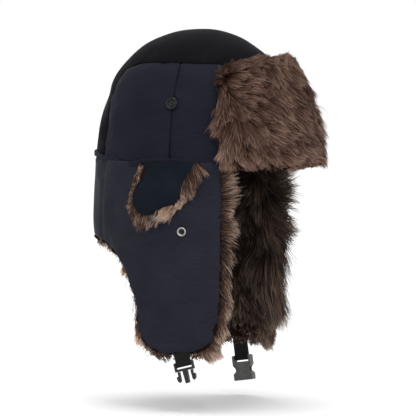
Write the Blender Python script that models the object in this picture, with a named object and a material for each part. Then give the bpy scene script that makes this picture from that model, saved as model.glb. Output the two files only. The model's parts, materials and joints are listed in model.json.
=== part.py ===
"""Trapper hat: a padded fabric crown with a folded-up fur visor, two fur-lined ear flaps with
ear covers, a neck curtain, snap fasteners and a side-release chin buckle.

Metres, +Z up. The hat faces -Y and the wearer's left is +X. The origin is the centre of the
head opening, level with the lower edge of the crown.
"""

import math

import bmesh
import bpy
from mathutils import Matrix, Vector

MM = 0.001

# ---------------------------------------------------------------- driving dimensions
HALF_LENGTH = 107 * MM  # head opening to the outer fabric, front to back
HALF_WIDTH = 93 * MM
CROWN_HEIGHT = 134 * MM
CROWN_POWER = 2.1  # superellipse power of the dome's profile
CROWN_TURNS = 36  # facets around the dome
CROWN_RINGS = 8
PADDING_BLOCKS = {  # first and last column, then first and last ring, of the crown's facets
    "front_left": (0, 6, 0, 4),
    "side_left": (6, 12, 0, 4),
    "rear_left": (12, 18, 0, 4),
    "rear_right": (18, 24, 0, 4),
    "side_right": (24, 30, 0, 4),
    "front_right": (30, 36, 0, 4),
    "upper_front_left": (0, 9, 4, 7),
    "upper_rear_left": (9, 18, 4, 7),
    "upper_rear_right": (18, 27, 4, 7),
    "upper_front_right": (27, 36, 4, 7),
}
TOP_BLOCK_RING = 7
BLOCK_INSET = 0.03  # the gap at each edge, as a share of a column or ring
SEAM_GAP = 0.4 * MM  # between two fabric panels that are sewn edge to edge
LAYER_GAP = 0.3 * MM

FABRIC = 1.2 * MM
PADDING = 4.0 * MM
LINING = 1.0 * MM
SWEATBAND = 1.4 * MM

# The seam between the side panels and the centre panel is an arch in the side view.
ARCH_HALF_LENGTH = 80 * MM
ARCH_HEIGHT = 102 * MM
ARCH_POWER = 4.5
SIDE_SEAM_Y = -4 * MM  # the upright seam in the middle of each side

HEM_LOW = -6 * MM
HEM_HIGH = 7 * MM

# Curtain: the ear flaps and the neck piece hang from the crown as one wall.
CURTAIN_FLARE = 2.5 * MM  # how far the wall swells below the crown
CURTAIN_FLARE_DROP = 50 * MM
CURTAIN_TOP = -7.5 * MM
CURTAIN_ROWS = 6
FLAP_FRONT = 59.0  # degrees round the head from the front
FLAP_MIDDLE = 84.0
FLAP_REAR = 109.0
FLAP_SHOULDER = -140 * MM
FLAP_BOTTOM = -183.5 * MM
FLAP_POWER = 3.0
NECK_BOTTOM = -66 * MM
NECK_POWER = 4.3  # how sharply the flap's rear edge sweeps up to the neck
NECK_SEAM = 134.0  # the upright seam between ear flap and neck piece
METRES_PER_DEGREE = 1.83 * MM  # along the wall, for widening an outline
FLAP_PADDING = 3.0 * MM
FUR_PILE = 11.5 * MM
FUR_PROUD = 6 * MM  # the pile stands past the fabric's edge at the sides
FUR_HANG = 2.2 * MM  # and below the flap's lower edge, where the strap hangs
PADDING_INSET = 13 * MM

EAR_HOLE_TURN = 91.5
EAR_HOLE_Z = -30 * MM
EAR_HOLE_HALF_WIDTH = 15 * MM
EAR_HOLE_HALF_HEIGHT = 13 * MM

COVER_FRONT = 66.5
COVER_REAR = 104.0
COVER_SKEW = 8.75  # degrees that the lower edge is set back
COVER_TOP = -8.5 * MM
COVER_SIDE = -14 * MM
COVER_BOTTOM = -56 * MM
COVER_POWER = 2.3
COVER_FUR = 5.0 * MM
COVER_CLEARANCE = 1.6 * MM
COVER_FUR_PROUD = 1.5 * MM

VISOR_HALF_TURN = 60.0
VISOR_LOW = -2 * MM
VISOR_HIGH = 105 * MM
VISOR_CORNER_LOW = 84 * MM
VISOR_CORNER_TURN = 30.0  # where the upper edge starts to round off
VISOR_STAND_OFF = 2.2 * MM
VISOR_LEAN = 24 * MM  # how far the visor leans back at VISOR_LEAN_HEIGHT
VISOR_LEAN_HEIGHT = 100 * MM
VISOR_LEAN_POWER = 1.9
VISOR_STIFFENER = 2.0 * MM
VISOR_GAP = 0.5 * MM  # between its layers
VISOR_FUR = 14.0 * MM

CROWN_SNAP_TURN = 88.0
CROWN_SNAP_Z = 62 * MM
CROWN_SNAP_RADIUS = 6.3 * MM
SMALL_SNAP_RADIUS = 4.8 * MM
# The two sockets on an ear flap: (degrees from the front, height). The first takes the crown's
# snap when the flap is folded up, and the second holds the ear cover shut.
FLAP_SNAPS = {"flap_snap": (80.3, -62.5 * MM), "cover_snap": (93.5, -49.5 * MM)}
SNAP_SEGMENTS = 14
SHANK_RADIUS = 1.3 * MM
SHANK_HOLE = 1.7 * MM
FACET_DIP = 0.9 * MM  # the most that a facet lies inside the true surface

STRAP_TURN = {"left": 86.5, "right": 80.5}
STRAP_HALF_WIDTH = 7.5 * MM
STRAP_THICKNESS = 2.0 * MM  # webbing folded double
STRAP_DEPTH = 3.3 * MM  # its middle, inward from the fabric's face
STRAP_TOP = -187 * MM
STRAP_DROP = {"left": 16.5 * MM, "right": 5.8 * MM}  # from its upper end to the buckle's bar
STRAP_SKEW = {"left": math.radians(8), "right": math.radians(14)}
ANCHOR_HEIGHT = 10 * MM

BAR_RADIUS = 1.3 * MM
SOCKET_HALF_WIDTH = 10.4 * MM
SOCKET_LENGTH = 23 * MM  # from the bar to the mouth
PLUG_HALF_WIDTH = 9.8 * MM
PLUG_LENGTH = 19 * MM  # from the bar to the guide's tip
SOCKET_HALF_THICKNESS = 3.9 * MM
SOCKET_WALL = 1.25 * MM
PLUG_HALF_THICKNESS = 2.4 * MM

LATCH_ROOT_Y = 6.8 * MM
LATCH_SHOULDER = -6.6 * MM  # where the latch arms and the guide leave the plug's frame

# Hinge lines
FLAP_HINGE_X = HALF_WIDTH + 4 * MM
FLAP_HINGE_Z = -6.5 * MM
COVER_HINGE_X = HALF_WIDTH + 8.6 * MM
COVER_HINGE_Z = -8 * MM

SIDES = {"left": 1.0, "right": -1.0}


# ---------------------------------------------------------------- helpers
def clear_scene():
    for old in list(bpy.data.objects):
        bpy.data.objects.remove(old, do_unlink=True)


def material(name, colour, roughness, metallic=0.0):
    made = bpy.data.materials.get(name)
    if made is None:
        made = bpy.data.materials.new(name)
        made.use_nodes = True
        shader = made.node_tree.nodes["Principled BSDF"]
        shader.inputs["Base Color"].default_value = (*colour, 1.0)
        shader.inputs["Roughness"].default_value = roughness
        shader.inputs["Metallic"].default_value = metallic
    return made


def navy_fabric():
    return material("navy_fabric", (0.016, 0.018, 0.032), 0.62)


def brown_fur():
    return material("brown_fur", (0.12, 0.068, 0.046), 0.9)


def quilted_lining():
    return material("quilted_lining", (0.012, 0.013, 0.018), 0.45)


def padding_fill():
    return material("padding_fill", (0.8, 0.8, 0.78), 0.95)


def black_metal():
    return material("black_metal", (0.02, 0.02, 0.022), 0.22, 0.9)


def bright_metal():
    return material("bright_metal", (0.55, 0.55, 0.53), 0.28, 1.0)


def webbing():
    return material("webbing", (0.018, 0.018, 0.018), 0.8)


def buckle_plastic():
    return material("buckle_plastic", (0.035, 0.036, 0.034), 0.42)


def mesh_object(name, bm, finish, smooth_angle=40.0):
    """Turns a closed bmesh into a named object with its faces pointing out."""
    bmesh.ops.recalc_face_normals(bm, faces=bm.faces)
    mesh = bpy.data.meshes.new(name)
    bm.to_mesh(mesh)
    bm.free()
    mesh.shade_smooth()
    mesh.set_sharp_from_angle(angle=math.radians(smooth_angle))
    made = bpy.data.objects.new(name, mesh)
    bpy.context.scene.collection.objects.link(made)
    made.data.materials.append(finish)
    return made


def cutter_object(name, bm):
    made = mesh_object(name, bm, padding_fill())
    made.hide_render = True
    made.display_type = "WIRE"
    return made


def boolean(target, tool, operation="DIFFERENCE"):
    cut = target.modifiers.new(operation.title() + "_" + tool.name, "BOOLEAN")
    cut.operation = operation
    cut.object = tool
    cut.solver = "EXACT"
    return target


def superellipse(angle, power):
    """(cosine, sine) of a superellipse's quarter at an angle from 0 to 90 degrees."""
    c, s = max(0.0, math.cos(angle)), max(0.0, math.sin(angle))
    return c ** (2 / power), s ** (2 / power)


def blend(a, b, share):
    return a + (b - a) * share


# ---------------------------------------------------------------- surfaces of the hat
def dome_point(turn, lift, depth):
    """A point on the crown. turn is in degrees from the front, lift runs from 0 at the hem to 1
    at the top, and depth is how far inside the outer fabric it lies."""
    reach, rise = superellipse(lift * math.pi / 2, CROWN_POWER)
    angle = math.radians(turn)
    return Vector(
        (
            (HALF_WIDTH - depth) * reach * math.sin(angle),
            -(HALF_LENGTH - depth) * reach * math.cos(angle),
            (CROWN_HEIGHT - depth) * rise,
        )
    )


def lift_at(z):
    """The lift at which the outer dome is z high."""
    return math.asin(min(1.0, (z / CROWN_HEIGHT)) ** (CROWN_POWER / 2)) * 2 / math.pi


def wall_point(turn, z, depth):
    """A point on the curtain that hangs from the crown."""
    drop = min(1.0, max(0.0, -z / CURTAIN_FLARE_DROP))
    swell = CURTAIN_FLARE * drop * drop * (3 - 2 * drop)
    angle = math.radians(turn)
    return Vector(
        (
            (HALF_WIDTH + swell - depth) * math.sin(angle),
            -(HALF_LENGTH + swell - depth) * math.cos(angle),
            z,
        )
    )


def frame_on(surface, turn, height, offset, side):
    """A matrix whose +Z leaves the surface, with its +Y as near upright as it can be."""
    step = 0.01
    here = surface(turn, height, 0.0)
    along = surface(turn + step, height, 0.0) - here
    up = surface(turn, height + step * 0.01, 0.0) - here
    out = along.cross(up).normalized()
    up = (up - out * up.dot(out)).normalized()
    spot = here + out * offset
    for vector in (spot, out, up):
        vector.x *= side
    made = Matrix((up.cross(out), up, out)).transposed().to_4x4()
    made.translation = spot
    return made


def mirror_points(rows, side):
    return [[Vector((p.x * side, p.y, p.z)) for p in row] for row in rows]


# ---------------------------------------------------------------- solids from grids
def add_plate(bm, outer, inner):
    """Adds a closed plate between two grids of points, joined all round their edge."""
    columns, rows = len(outer), len(outer[0])
    skins = [[[bm.verts.new(p) for p in row] for row in grid] for grid in (outer, inner)]
    for skin in skins:
        for i in range(columns - 1):
            for j in range(rows - 1):
                bm.faces.new(
                    (skin[i][j], skin[i + 1][j], skin[i + 1][j + 1], skin[i][j + 1])
                )
    rim = [(i, 0) for i in range(columns)]
    rim += [(columns - 1, j) for j in range(1, rows)]
    rim += [(i, rows - 1) for i in range(columns - 2, -1, -1)]
    rim += [(0, j) for j in range(rows - 2, 0, -1)]
    for (i, j), (k, m) in zip(rim, rim[1:] + rim[:1]):
        bm.faces.new((skins[0][i][j], skins[0][k][m], skins[1][k][m], skins[1][i][j]))


def grid_solid(name, outer, inner, finish):
    bm = bmesh.new()
    add_plate(bm, outer, inner)
    return mesh_object(name, bm, finish)


def ring_solid(name, rings, finish):
    """A closed band from rings of points: each ring is one loop round the head, and the last ring
    joins the first."""
    bm = bmesh.new()
    loops = [[bm.verts.new(p) for p in ring] for ring in rings]
    for here, there in zip(loops, loops[1:] + loops[:1]):
        for i in range(len(here)):
            k = (i + 1) % len(here)
            bm.faces.new((here[i], here[k], there[k], there[i]))
    return mesh_object(name, bm, finish)


def turned(name, profile, finish, place, segments=SNAP_SEGMENTS):
    """A solid of revolution about the local Z axis. A profile that starts and ends on the axis is
    solid, and any other is a ring."""
    bm = bmesh.new()
    rings = []
    for radius, height in profile:
        if radius == 0.0:
            rings.append([bm.verts.new((0, 0, height))] * segments)
            continue
        angles = [2 * math.pi * i / segments for i in range(segments)]
        rings.append(
            [bm.verts.new((radius * math.cos(a), radius * math.sin(a), height)) for a in angles]
        )
    closed = profile[0][0] > 0.0
    followers = rings[1:] + (rings[:1] if closed else [])
    for here, there in zip(rings, followers):
        for i in range(segments):
            k = (i + 1) % segments
            corners = [here[i], here[k], there[k], there[i]]
            bm.faces.new(list(dict.fromkeys(corners)))
    bm.transform(place)
    return mesh_object(name, bm, finish)


def extruded(name, outline, low, high, finish, place=None, holes=()):
    """A prism along the local X axis from an outline of (y, z) points, with round holes left for
    the caller's other pieces given as (y, z) outlines too."""
    bm = bmesh.new()
    loops = []
    for points in (outline, *holes):
        near = [bm.verts.new((low, y, z)) for y, z in points]
        far = [bm.verts.new((high, y, z)) for y, z in points]
        loops.append((near, far))
        for i in range(len(near)):
            k = (i + 1) % len(near)
            bm.faces.new((near[i], near[k], far[k], far[i]))
    for end in (0, 1):
        edges = []
        for pair in loops:
            ring = pair[end]
            edges += [bm.edges.get((a, b)) for a, b in zip(ring, ring[1:] + ring[:1])]
        bmesh.ops.triangle_fill(bm, use_beauty=True, use_dissolve=False, edges=edges)
    bm.transform(place or Matrix.Identity(4))
    return mesh_object(name, bm, finish)


def block(name, low, high, finish, place=None):
    """A box between two corners."""
    outline = [(low[1], low[2]), (high[1], low[2]), (high[1], high[2]), (low[1], high[2])]
    return extruded(name, outline, low[0], high[0], finish, place)


# ---------------------------------------------------------------- crown
def dome_solid(name, outer_depth, inner_depth, finish, low=0.0):
    """The whole dome between two depths, open at the hem."""
    bm = bmesh.new()
    turns = [360 * i / CROWN_TURNS for i in range(CROWN_TURNS)]
    skins = []
    for depth in (outer_depth, inner_depth):
        rings = []
        for j in range(CROWN_RINGS):
            lift = j / CROWN_RINGS
            ring = [dome_point(t, lift, depth) for t in turns]
            if j == 0:
                for p in ring:
                    p.z = low
            rings.append([bm.verts.new(p) for p in ring])
        top = bm.verts.new(dome_point(0, 1.0, depth))
        skins.append((rings, top))
        for here, there in zip(rings, rings[1:]):
            for i in range(CROWN_TURNS):
                k = (i + 1) % CROWN_TURNS
                bm.faces.new((here[i], here[k], there[k], there[i]))
        for i in range(CROWN_TURNS):
            bm.faces.new((rings[-1][i], rings[-1][(i + 1) % CROWN_TURNS], top))
    for i in range(CROWN_TURNS):
        k = (i + 1) % CROWN_TURNS
        outer, inner = skins[0][0][0], skins[1][0][0]
        bm.faces.new((outer[i], outer[k], inner[k], inner[i]))
    return mesh_object(name, bm, finish)


def arch_outline(widen, from_y, to_y, steps=14):
    """The part of the seam's arch between two places along the hat, closed below the hem."""
    below = -20 * MM
    points = []
    for i in range(2 * steps + 1):
        angle = math.pi * i / (2 * steps)
        quarter = angle if angle <= math.pi / 2 else math.pi - angle
        reach, rise = superellipse(quarter, ARCH_POWER)
        y = (ARCH_HALF_LENGTH + widen) * reach * (1 if angle <= math.pi / 2 else -1)
        points.append((y, (ARCH_HEIGHT + widen) * rise))
    kept = [(y, z) for y, z in points if from_y < y < to_y]
    reach = ARCH_HALF_LENGTH + widen
    crest = ARCH_HEIGHT + widen
    start = (to_y, crest) if to_y < reach else (reach, 0.0)
    finish = (from_y, crest) if from_y > -reach else (-reach, 0.0)
    return [(start[0], below), start, *kept, finish, (finish[0], below)]


def snap_hole(name, surface, turn, height, side, radius, low, high):
    """The cutter for a round hole square to a surface, from low to high along its normal."""
    place = frame_on(surface, turn, height, 0.0, side)
    profile = [(0.0, low), (radius, low), (radius, high), (0.0, high)]
    hole = turned(name, profile, padding_fill(), place, 12)
    hole.hide_render = True
    hole.display_type = "WIRE"
    return hole


def crown_surface(turn, z, depth):
    return dome_point(turn, lift_at(z), depth)


def build_crown():
    reach = HALF_WIDTH + 10 * MM
    halves = {
        "front": (-200 * MM, SIDE_SEAM_Y - SEAM_GAP / 2),
        "rear": (SIDE_SEAM_Y + SEAM_GAP / 2, 200 * MM),
    }
    holes = {
        label: snap_hole(
            f"cut_crown_snap_{label}",
            crown_surface,
            CROWN_SNAP_TURN,
            CROWN_SNAP_Z,
            side,
            SHANK_HOLE,
            -8 * MM,
            4 * MM,
        )
        for label, side in SIDES.items()
    }
    for label, side in SIDES.items():
        for half, (from_y, to_y) in halves.items():
            panel = dome_solid(f"crown_side_{half}_{label}", 0.0, FABRIC, navy_fabric())
            outline = arch_outline(-SEAM_GAP / 2, from_y, to_y)
            low, high = sorted((5 * MM * side, reach * side))
            keep = extruded(f"cut_side_{half}_{label}", outline, low, high, padding_fill())
            keep.hide_render = True
            keep.display_type = "WIRE"
            boolean(panel, keep, "INTERSECT")
            boolean(panel, holes[label])
    centre = dome_solid("crown_center_panel", 0.0, FABRIC, navy_fabric())
    outline = arch_outline(SEAM_GAP / 2, -200 * MM, 200 * MM)
    arch = extruded("cut_arch", outline, -reach, reach, padding_fill())
    arch.hide_render = True
    arch.display_type = "WIRE"
    boolean(centre, arch)

    outer = FABRIC + LAYER_GAP
    padding = build_padding(outer, outer + PADDING)
    for label, side in SIDES.items():
        pocket = snap_hole(
            f"cut_padding_pocket_{label}",
            crown_surface,
            CROWN_SNAP_TURN,
            CROWN_SNAP_Z,
            side,
            5.4 * MM,
            -3.5 * MM,
            4 * MM,
        )
        boolean(padding[f"side_{label}"], pocket)
    outer += PADDING + LAYER_GAP
    dome_solid("crown_lining", outer, outer + LINING, quilted_lining())
    outer += LINING + LAYER_GAP
    build_sweatband(outer)
    build_hem_band()


def facet_point(column, row, depth):
    """A point on the crown's facets, at a share of a column and of a ring."""
    i, j = math.floor(column), min(math.floor(row), CROWN_RINGS - 1)
    corners = [
        [dome_point(360 * k / CROWN_TURNS, m / CROWN_RINGS, depth) for m in (j, j + 1)]
        for k in (i, i + 1)
    ]
    low, high = (corners[0][m].lerp(corners[1][m], column - i) for m in (0, 1))
    return low.lerp(high, row - j)


def build_padding(outer, inner):
    """The wadding, cut into blocks that meet at the quilting seams, and a round one on top.
    Returns the blocks by name."""
    blocks = {}
    for name, (start, stop, first, last) in PADDING_BLOCKS.items():
        rows = [first + BLOCK_INSET, *range(first + 1, last), last - BLOCK_INSET]
        columns = [start + BLOCK_INSET, *range(start + 1, stop), stop - BLOCK_INSET]
        skins = [
            [[facet_point(i, j, depth) for j in rows] for i in columns]
            for depth in (outer, inner)
        ]
        blocks[name] = grid_solid(f"crown_padding_{name}", *skins, padding_fill())
    bm = bmesh.new()
    skins = []
    for depth in (outer, inner):
        rings = [
            [bm.verts.new(facet_point(i, j, depth)) for i in range(CROWN_TURNS)]
            for j in (TOP_BLOCK_RING + BLOCK_INSET,)
        ]
        top = bm.verts.new(dome_point(0, 1.0, depth))
        skins.append(rings)
        for i in range(CROWN_TURNS):
            k = (i + 1) % CROWN_TURNS
            bm.faces.new((rings[0][i], rings[0][k], top))
    for i in range(CROWN_TURNS):
        k = (i + 1) % CROWN_TURNS
        bm.faces.new((skins[0][0][i], skins[0][0][k], skins[1][0][k], skins[1][0][i]))
    mesh_object("crown_padding_top", bm, padding_fill())
    return blocks


def build_sweatband(outer):
    """A flat band of lining fabric round the inside of the head opening. It lies along the
    lowest ring of the crown's facets."""
    turns = [360 * i / CROWN_TURNS for i in range(CROWN_TURNS)]
    inner = outer + SWEATBAND
    rings = []
    for share, depth in ((0.02, outer), (0.98, outer), (0.98, inner), (0.02, inner)):
        ends = [[dome_point(t, lift, depth) for t in turns] for lift in (0, 1 / CROWN_RINGS)]
        rings.append([low.lerp(high, share) for low, high in zip(*ends)])
    ring_solid("sweatband", rings, quilted_lining())


def build_hem_band():
    """The folded hem that covers the seam between the crown and the curtain."""
    turns = [360 * i / CROWN_TURNS for i in range(CROWN_TURNS)]
    near, far = -LAYER_GAP, -LAYER_GAP - 1.3 * MM
    corners = [(HEM_LOW, near), (HEM_HIGH, near), (HEM_HIGH, far), (0.0, far), (HEM_LOW, far)]
    rings = [[wall_point(t, z, depth) for t in turns] for z, depth in corners]
    ring_solid("hem_band", rings, navy_fabric())


# ---------------------------------------------------------------- curtain
def curtain_edge(k, grow=0.0):
    """(turn, z) along the curtain's lower edge. k is 0 to 1 round the flap's front corner, 1 to 2
    round its rear corner, and 2 to 3 along the neck to the middle of the back."""
    widen = grow / METRES_PER_DEGREE
    if k <= 2:
        quarter = k if k <= 1 else 2 - k
        reach, rise = superellipse(quarter * math.pi / 2, FLAP_POWER)
        half = (FLAP_MIDDLE - FLAP_FRONT) + widen
        turn = FLAP_MIDDLE + half * reach * (-1 if k <= 1 else 1)
        hang = min(grow, FUR_HANG)
        return turn, FLAP_SHOULDER + (FLAP_BOTTOM - FLAP_SHOULDER - hang) * rise
    rear = FLAP_REAR + widen
    share = k - 2
    turn = blend(rear, 180.0, share)
    bottom = NECK_BOTTOM - grow
    return turn, bottom + (FLAP_SHOULDER - bottom) * (1 - share) ** NECK_POWER


def seam_share(turn, grow):
    """The k at which the lower edge passes a turn near the seam between flap and neck."""
    rear = FLAP_REAR + grow / METRES_PER_DEGREE
    return 2 + (turn - rear) / (180.0 - rear)


def curtain_grid(stations, tops, depth, grow, side):
    """Columns of points from the curtain's upper edge down to its lower one."""
    grid = []
    for k, top_turn in zip(stations, tops):
        low_turn, low_z = curtain_edge(k, grow)
        column = []
        for j in range(CURTAIN_ROWS + 1):
            share = j / CURTAIN_ROWS
            turn = blend(top_turn, low_turn, share)
            column.append(wall_point(turn, blend(CURTAIN_TOP, low_z, share), depth))
        grid.append(column)
    return mirror_points(grid, side)


def flap_stations(grow, gap):
    """The columns of an ear flap layer: places on the lower edge and turns on the upper one."""
    first = FLAP_FRONT - grow / METRES_PER_DEGREE
    end = NECK_SEAM - gap / METRES_PER_DEGREE
    steps = 7
    reaches = [1 - (i / steps) ** 1.6 for i in range(steps)]
    corner = [math.acos(reach ** (FLAP_POWER / 2)) * 2 / math.pi for reach in reaches]
    stations = corner + [1.0] + [2 - k for k in corner[:0:-1]]
    tops = [blend(first, FLAP_REAR, i / (2 * steps)) for i in range(2 * steps)]
    steps = 5
    last = seam_share(end, grow)
    stations += [blend(2.0, last, i / steps) for i in range(steps + 1)]
    tops += [blend(FLAP_REAR, end, i / steps) for i in range(steps + 1)]
    return stations, tops


def flap_layer(name, outer_depth, inner_depth, grow, finish, side, hole):
    stations, tops = flap_stations(grow, SEAM_GAP / 2 + (0 if grow >= 0 else -grow))
    skins = [
        curtain_grid(stations, tops, depth, grow, side)
        for depth in (outer_depth, inner_depth)
    ]
    made = grid_solid(name, *skins, finish)
    return boolean(made, hole)


def build_ear_hole(label, side):
    """The oval hearing hole's cutter, through every layer of the flap."""
    place = frame_on(wall_point, EAR_HOLE_TURN, EAR_HOLE_Z, 0.0, side)
    bm = bmesh.new()
    bmesh.ops.create_cone(
        bm, cap_ends=True, segments=20, radius1=1.0, radius2=1.0, depth=60 * MM
    )
    oval = Matrix.Diagonal((EAR_HOLE_HALF_WIDTH, EAR_HOLE_HALF_HEIGHT, 1.0, 1.0))
    bm.transform(place @ oval)
    return cutter_object(f"cut_ear_hole_{label}", bm)


def build_ear_flap(label, side):
    hole = build_ear_hole(label, side)
    shell = flap_layer(
        f"ear_flap_shell_{label}", 0.0, FABRIC, 0.0, navy_fabric(), side, hole
    )
    for name, (turn, z) in FLAP_SNAPS.items():
        spot = (wall_point, turn, z, side, SHANK_HOLE, -4 * MM, 4 * MM)
        boolean(shell, snap_hole(f"cut_{name}_{label}", *spot))
    outer = FABRIC + LAYER_GAP
    pad = flap_layer(
        f"ear_flap_padding_{label}",
        outer,
        outer + FLAP_PADDING,
        -PADDING_INSET,
        padding_fill(),
        side,
        hole,
    )
    for name, (turn, z) in FLAP_SNAPS.items():
        spot = (wall_point, turn, z, side, 4.6 * MM, -3.5 * MM, 4 * MM)
        boolean(pad, snap_hole(f"cut_pocket_{name}_{label}", *spot))
    outer += FLAP_PADDING + LAYER_GAP
    flap_layer(
        f"ear_flap_fur_{label}",
        outer,
        outer + FUR_PILE,
        FUR_PROUD,
        brown_fur(),
        side,
        hole,
    )


def build_neck():
    """The neck piece: shell, padding and fur between the two ear flaps."""
    outer = 0.0
    for name, thick, grow, finish in (
        ("neck_shell", FABRIC, 0.0, navy_fabric()),
        ("neck_padding", FLAP_PADDING, -PADDING_INSET, padding_fill()),
        ("neck_fur", FUR_PILE, FUR_PROUD, brown_fur()),
    ):
        inset = SEAM_GAP / 2 + max(0.0, -grow)
        first = NECK_SEAM + inset / METRES_PER_DEGREE
        start = seam_share(first, grow)
        steps = 8
        stations = [blend(start, 3.0, i / steps) for i in range(steps + 1)]
        tops = [blend(first, 180.0, i / steps) for i in range(steps + 1)]
        skins = []
        for depth in (outer, outer + thick):
            near = curtain_grid(stations, tops, depth, grow, 1.0)
            far = mirror_points(near[:-1], -1.0)[::-1]
            skins.append(near + far)
        grid_solid(name, *skins, finish)
        outer += thick + LAYER_GAP


# ---------------------------------------------------------------- ear covers
def cover_grid(depth, grow, side):
    """Columns of points on a half-moon whose lower edge is set back towards the neck."""
    columns, rows = 12, 4
    widen = grow / METRES_PER_DEGREE
    middle = (COVER_FRONT + COVER_REAR) / 2
    half = (COVER_REAR - COVER_FRONT) / 2 + widen
    grid = []
    for i in range(columns + 1):
        angle = math.pi * i / columns
        quarter = angle if angle <= math.pi / 2 else math.pi - angle
        reach, rise = superellipse(quarter, COVER_POWER)
        sign = -1 if angle <= math.pi / 2 else 1
        low_turn = middle + half * reach * sign + COVER_SKEW * rise
        low_z = COVER_SIDE + (COVER_BOTTOM - grow - COVER_SIDE) * rise
        top_turn = middle + half * (2 * i / columns - 1)
        column = [
            wall_point(
                blend(top_turn, low_turn, j / rows), blend(COVER_TOP, low_z, j / rows), depth
            )
            for j in range(rows + 1)
        ]
        grid.append(column)
    return mirror_points(grid, side)


def build_ear_cover(label, side):
    fur_near = -COVER_CLEARANCE
    fur_far = fur_near - COVER_FUR
    shell_near = fur_far - LAYER_GAP
    shell_far = shell_near - FABRIC
    fur = grid_solid(
        f"ear_cover_fur_{label}",
        cover_grid(fur_far, COVER_FUR_PROUD, side),
        cover_grid(fur_near, COVER_FUR_PROUD, side),
        brown_fur(),
    )
    shell = grid_solid(
        f"ear_cover_shell_{label}",
        cover_grid(shell_far, 0.0, side),
        cover_grid(shell_near, 0.0, side),
        navy_fabric(),
    )
    spot = (wall_point, *FLAP_SNAPS["cover_snap"], side)
    boolean(fur, snap_hole(f"cut_cover_fur_{label}", *spot, 5.3 * MM, -2 * MM, 7.2 * MM))
    boolean(shell, snap_hole(f"cut_cover_shell_{label}", *spot, SHANK_HOLE, 4 * MM, 14 * MM))


# ---------------------------------------------------------------- snap fasteners
def socket_profile(radius, base):
    """A snap socket: a pressed ring with a rolled rim and a spring hole in its middle."""
    hole = 2.1 * MM
    return [
        (hole, base),
        (radius * 0.93, base),
        (radius, base + 0.5 * MM),
        (radius * 0.9, base + 1.5 * MM),
        (radius * 0.68, base + 1.7 * MM),
        (radius * 0.56, base + 1.1 * MM),
        (hole, base + 1.0 * MM),
    ]


def post_profile(flange, back, front, tip):
    """The rivet behind a socket: a flange under the fabric and a shank through it."""
    return [
        (0.0, back),
        (flange, back),
        (flange, front),
        (SHANK_RADIUS, front),
        (SHANK_RADIUS, tip),
        (0.0, tip),
    ]


def build_snaps(label, side):
    crown = frame_on(crown_surface, CROWN_SNAP_TURN, CROWN_SNAP_Z, 0.0, side)
    cover = frame_on(wall_point, *FLAP_SNAPS["cover_snap"], 0.0, side)
    front = -FABRIC - FACET_DIP
    back = front - 0.6 * MM
    turned(
        f"crown_snap_socket_{label}",
        socket_profile(CROWN_SNAP_RADIUS, LAYER_GAP),
        black_metal(),
        crown,
    )
    turned(
        f"crown_snap_post_{label}",
        post_profile(4.4 * MM, back, front, 1.0 * MM),
        black_metal(),
        crown,
    )
    for name, (turn, z) in FLAP_SNAPS.items():
        place = frame_on(wall_point, turn, z, 0.0, side)
        socket = socket_profile(SMALL_SNAP_RADIUS, LAYER_GAP)
        turned(f"{name}_socket_{label}", socket, bright_metal(), place)
        post = post_profile(3.8 * MM, back, front, 1.0 * MM)
        turned(f"{name}_post_{label}", post, bright_metal(), place)
    shell_in = COVER_CLEARANCE + COVER_FUR + LAYER_GAP
    shell_out = shell_in + FABRIC
    cap = [
        (0.0, shell_out - 0.9 * MM),
        (SHANK_RADIUS, shell_out - 0.9 * MM),
        (SHANK_RADIUS, shell_out + 0.35 * MM),
        (SMALL_SNAP_RADIUS, shell_out + 0.35 * MM),
        (SMALL_SNAP_RADIUS * 0.86, shell_out + 1.3 * MM),
        (SMALL_SNAP_RADIUS * 0.4, shell_out + 1.7 * MM),
        (0.0, shell_out + 1.75 * MM),
    ]
    turned(f"cover_snap_cap_{label}", cap, bright_metal(), cover)
    stud = [
        (0.0, 1.4 * MM),
        (1.3 * MM, 1.4 * MM),
        (1.6 * MM, 2.0 * MM),
        (1.3 * MM, 3.2 * MM),
        (SMALL_SNAP_RADIUS * 0.9, 3.6 * MM),
        (SMALL_SNAP_RADIUS, shell_in - 1.5 * MM),
        (SMALL_SNAP_RADIUS * 0.9, shell_in - 0.8 * MM),
        (0.0, shell_in - 0.8 * MM),
    ]
    turned(f"cover_snap_stud_{label}", stud, bright_metal(), cover)


# ---------------------------------------------------------------- visor
def visor_point(turn, z, depth):
    """A point on the folded-up visor, which leans back as it rises but less than the dome."""
    share = max(0.0, z) / VISOR_LEAN_HEIGHT
    offset = VISOR_STAND_OFF - depth - VISOR_LEAN * share**VISOR_LEAN_POWER
    angle = math.radians(turn)
    return Vector(
        (
            (HALF_WIDTH + offset) * math.sin(angle),
            -(HALF_LENGTH + offset) * math.cos(angle),
            z,
        )
    )


def visor_top(turn, half_turn):
    """The height of the visor's upper edge, which rounds off towards its two ends."""
    share = max(0.0, abs(turn) - VISOR_CORNER_TURN) / (half_turn - VISOR_CORNER_TURN)
    return blend(VISOR_CORNER_LOW, VISOR_HIGH, math.sqrt(max(0.0, 1 - share**2)))


def visor_layer(name, near, far, inset, finish):
    half_turn = VISOR_HALF_TURN - inset / METRES_PER_DEGREE
    columns, rows = 22, 6
    skins = []
    for depth in (-far, -near):
        grid = []
        for i in range(columns + 1):
            along = math.sin((i / columns - 0.5) * math.pi)
            turn = half_turn * blend(i / columns * 2 - 1, along, 0.5)
            high = visor_top(turn, half_turn) - inset
            low = VISOR_LOW + inset
            grid.append(
                [visor_point(turn, blend(low, high, j / rows), depth) for j in range(rows + 1)]
            )
        skins.append(grid)
    return grid_solid(name, *skins, finish)


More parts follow.
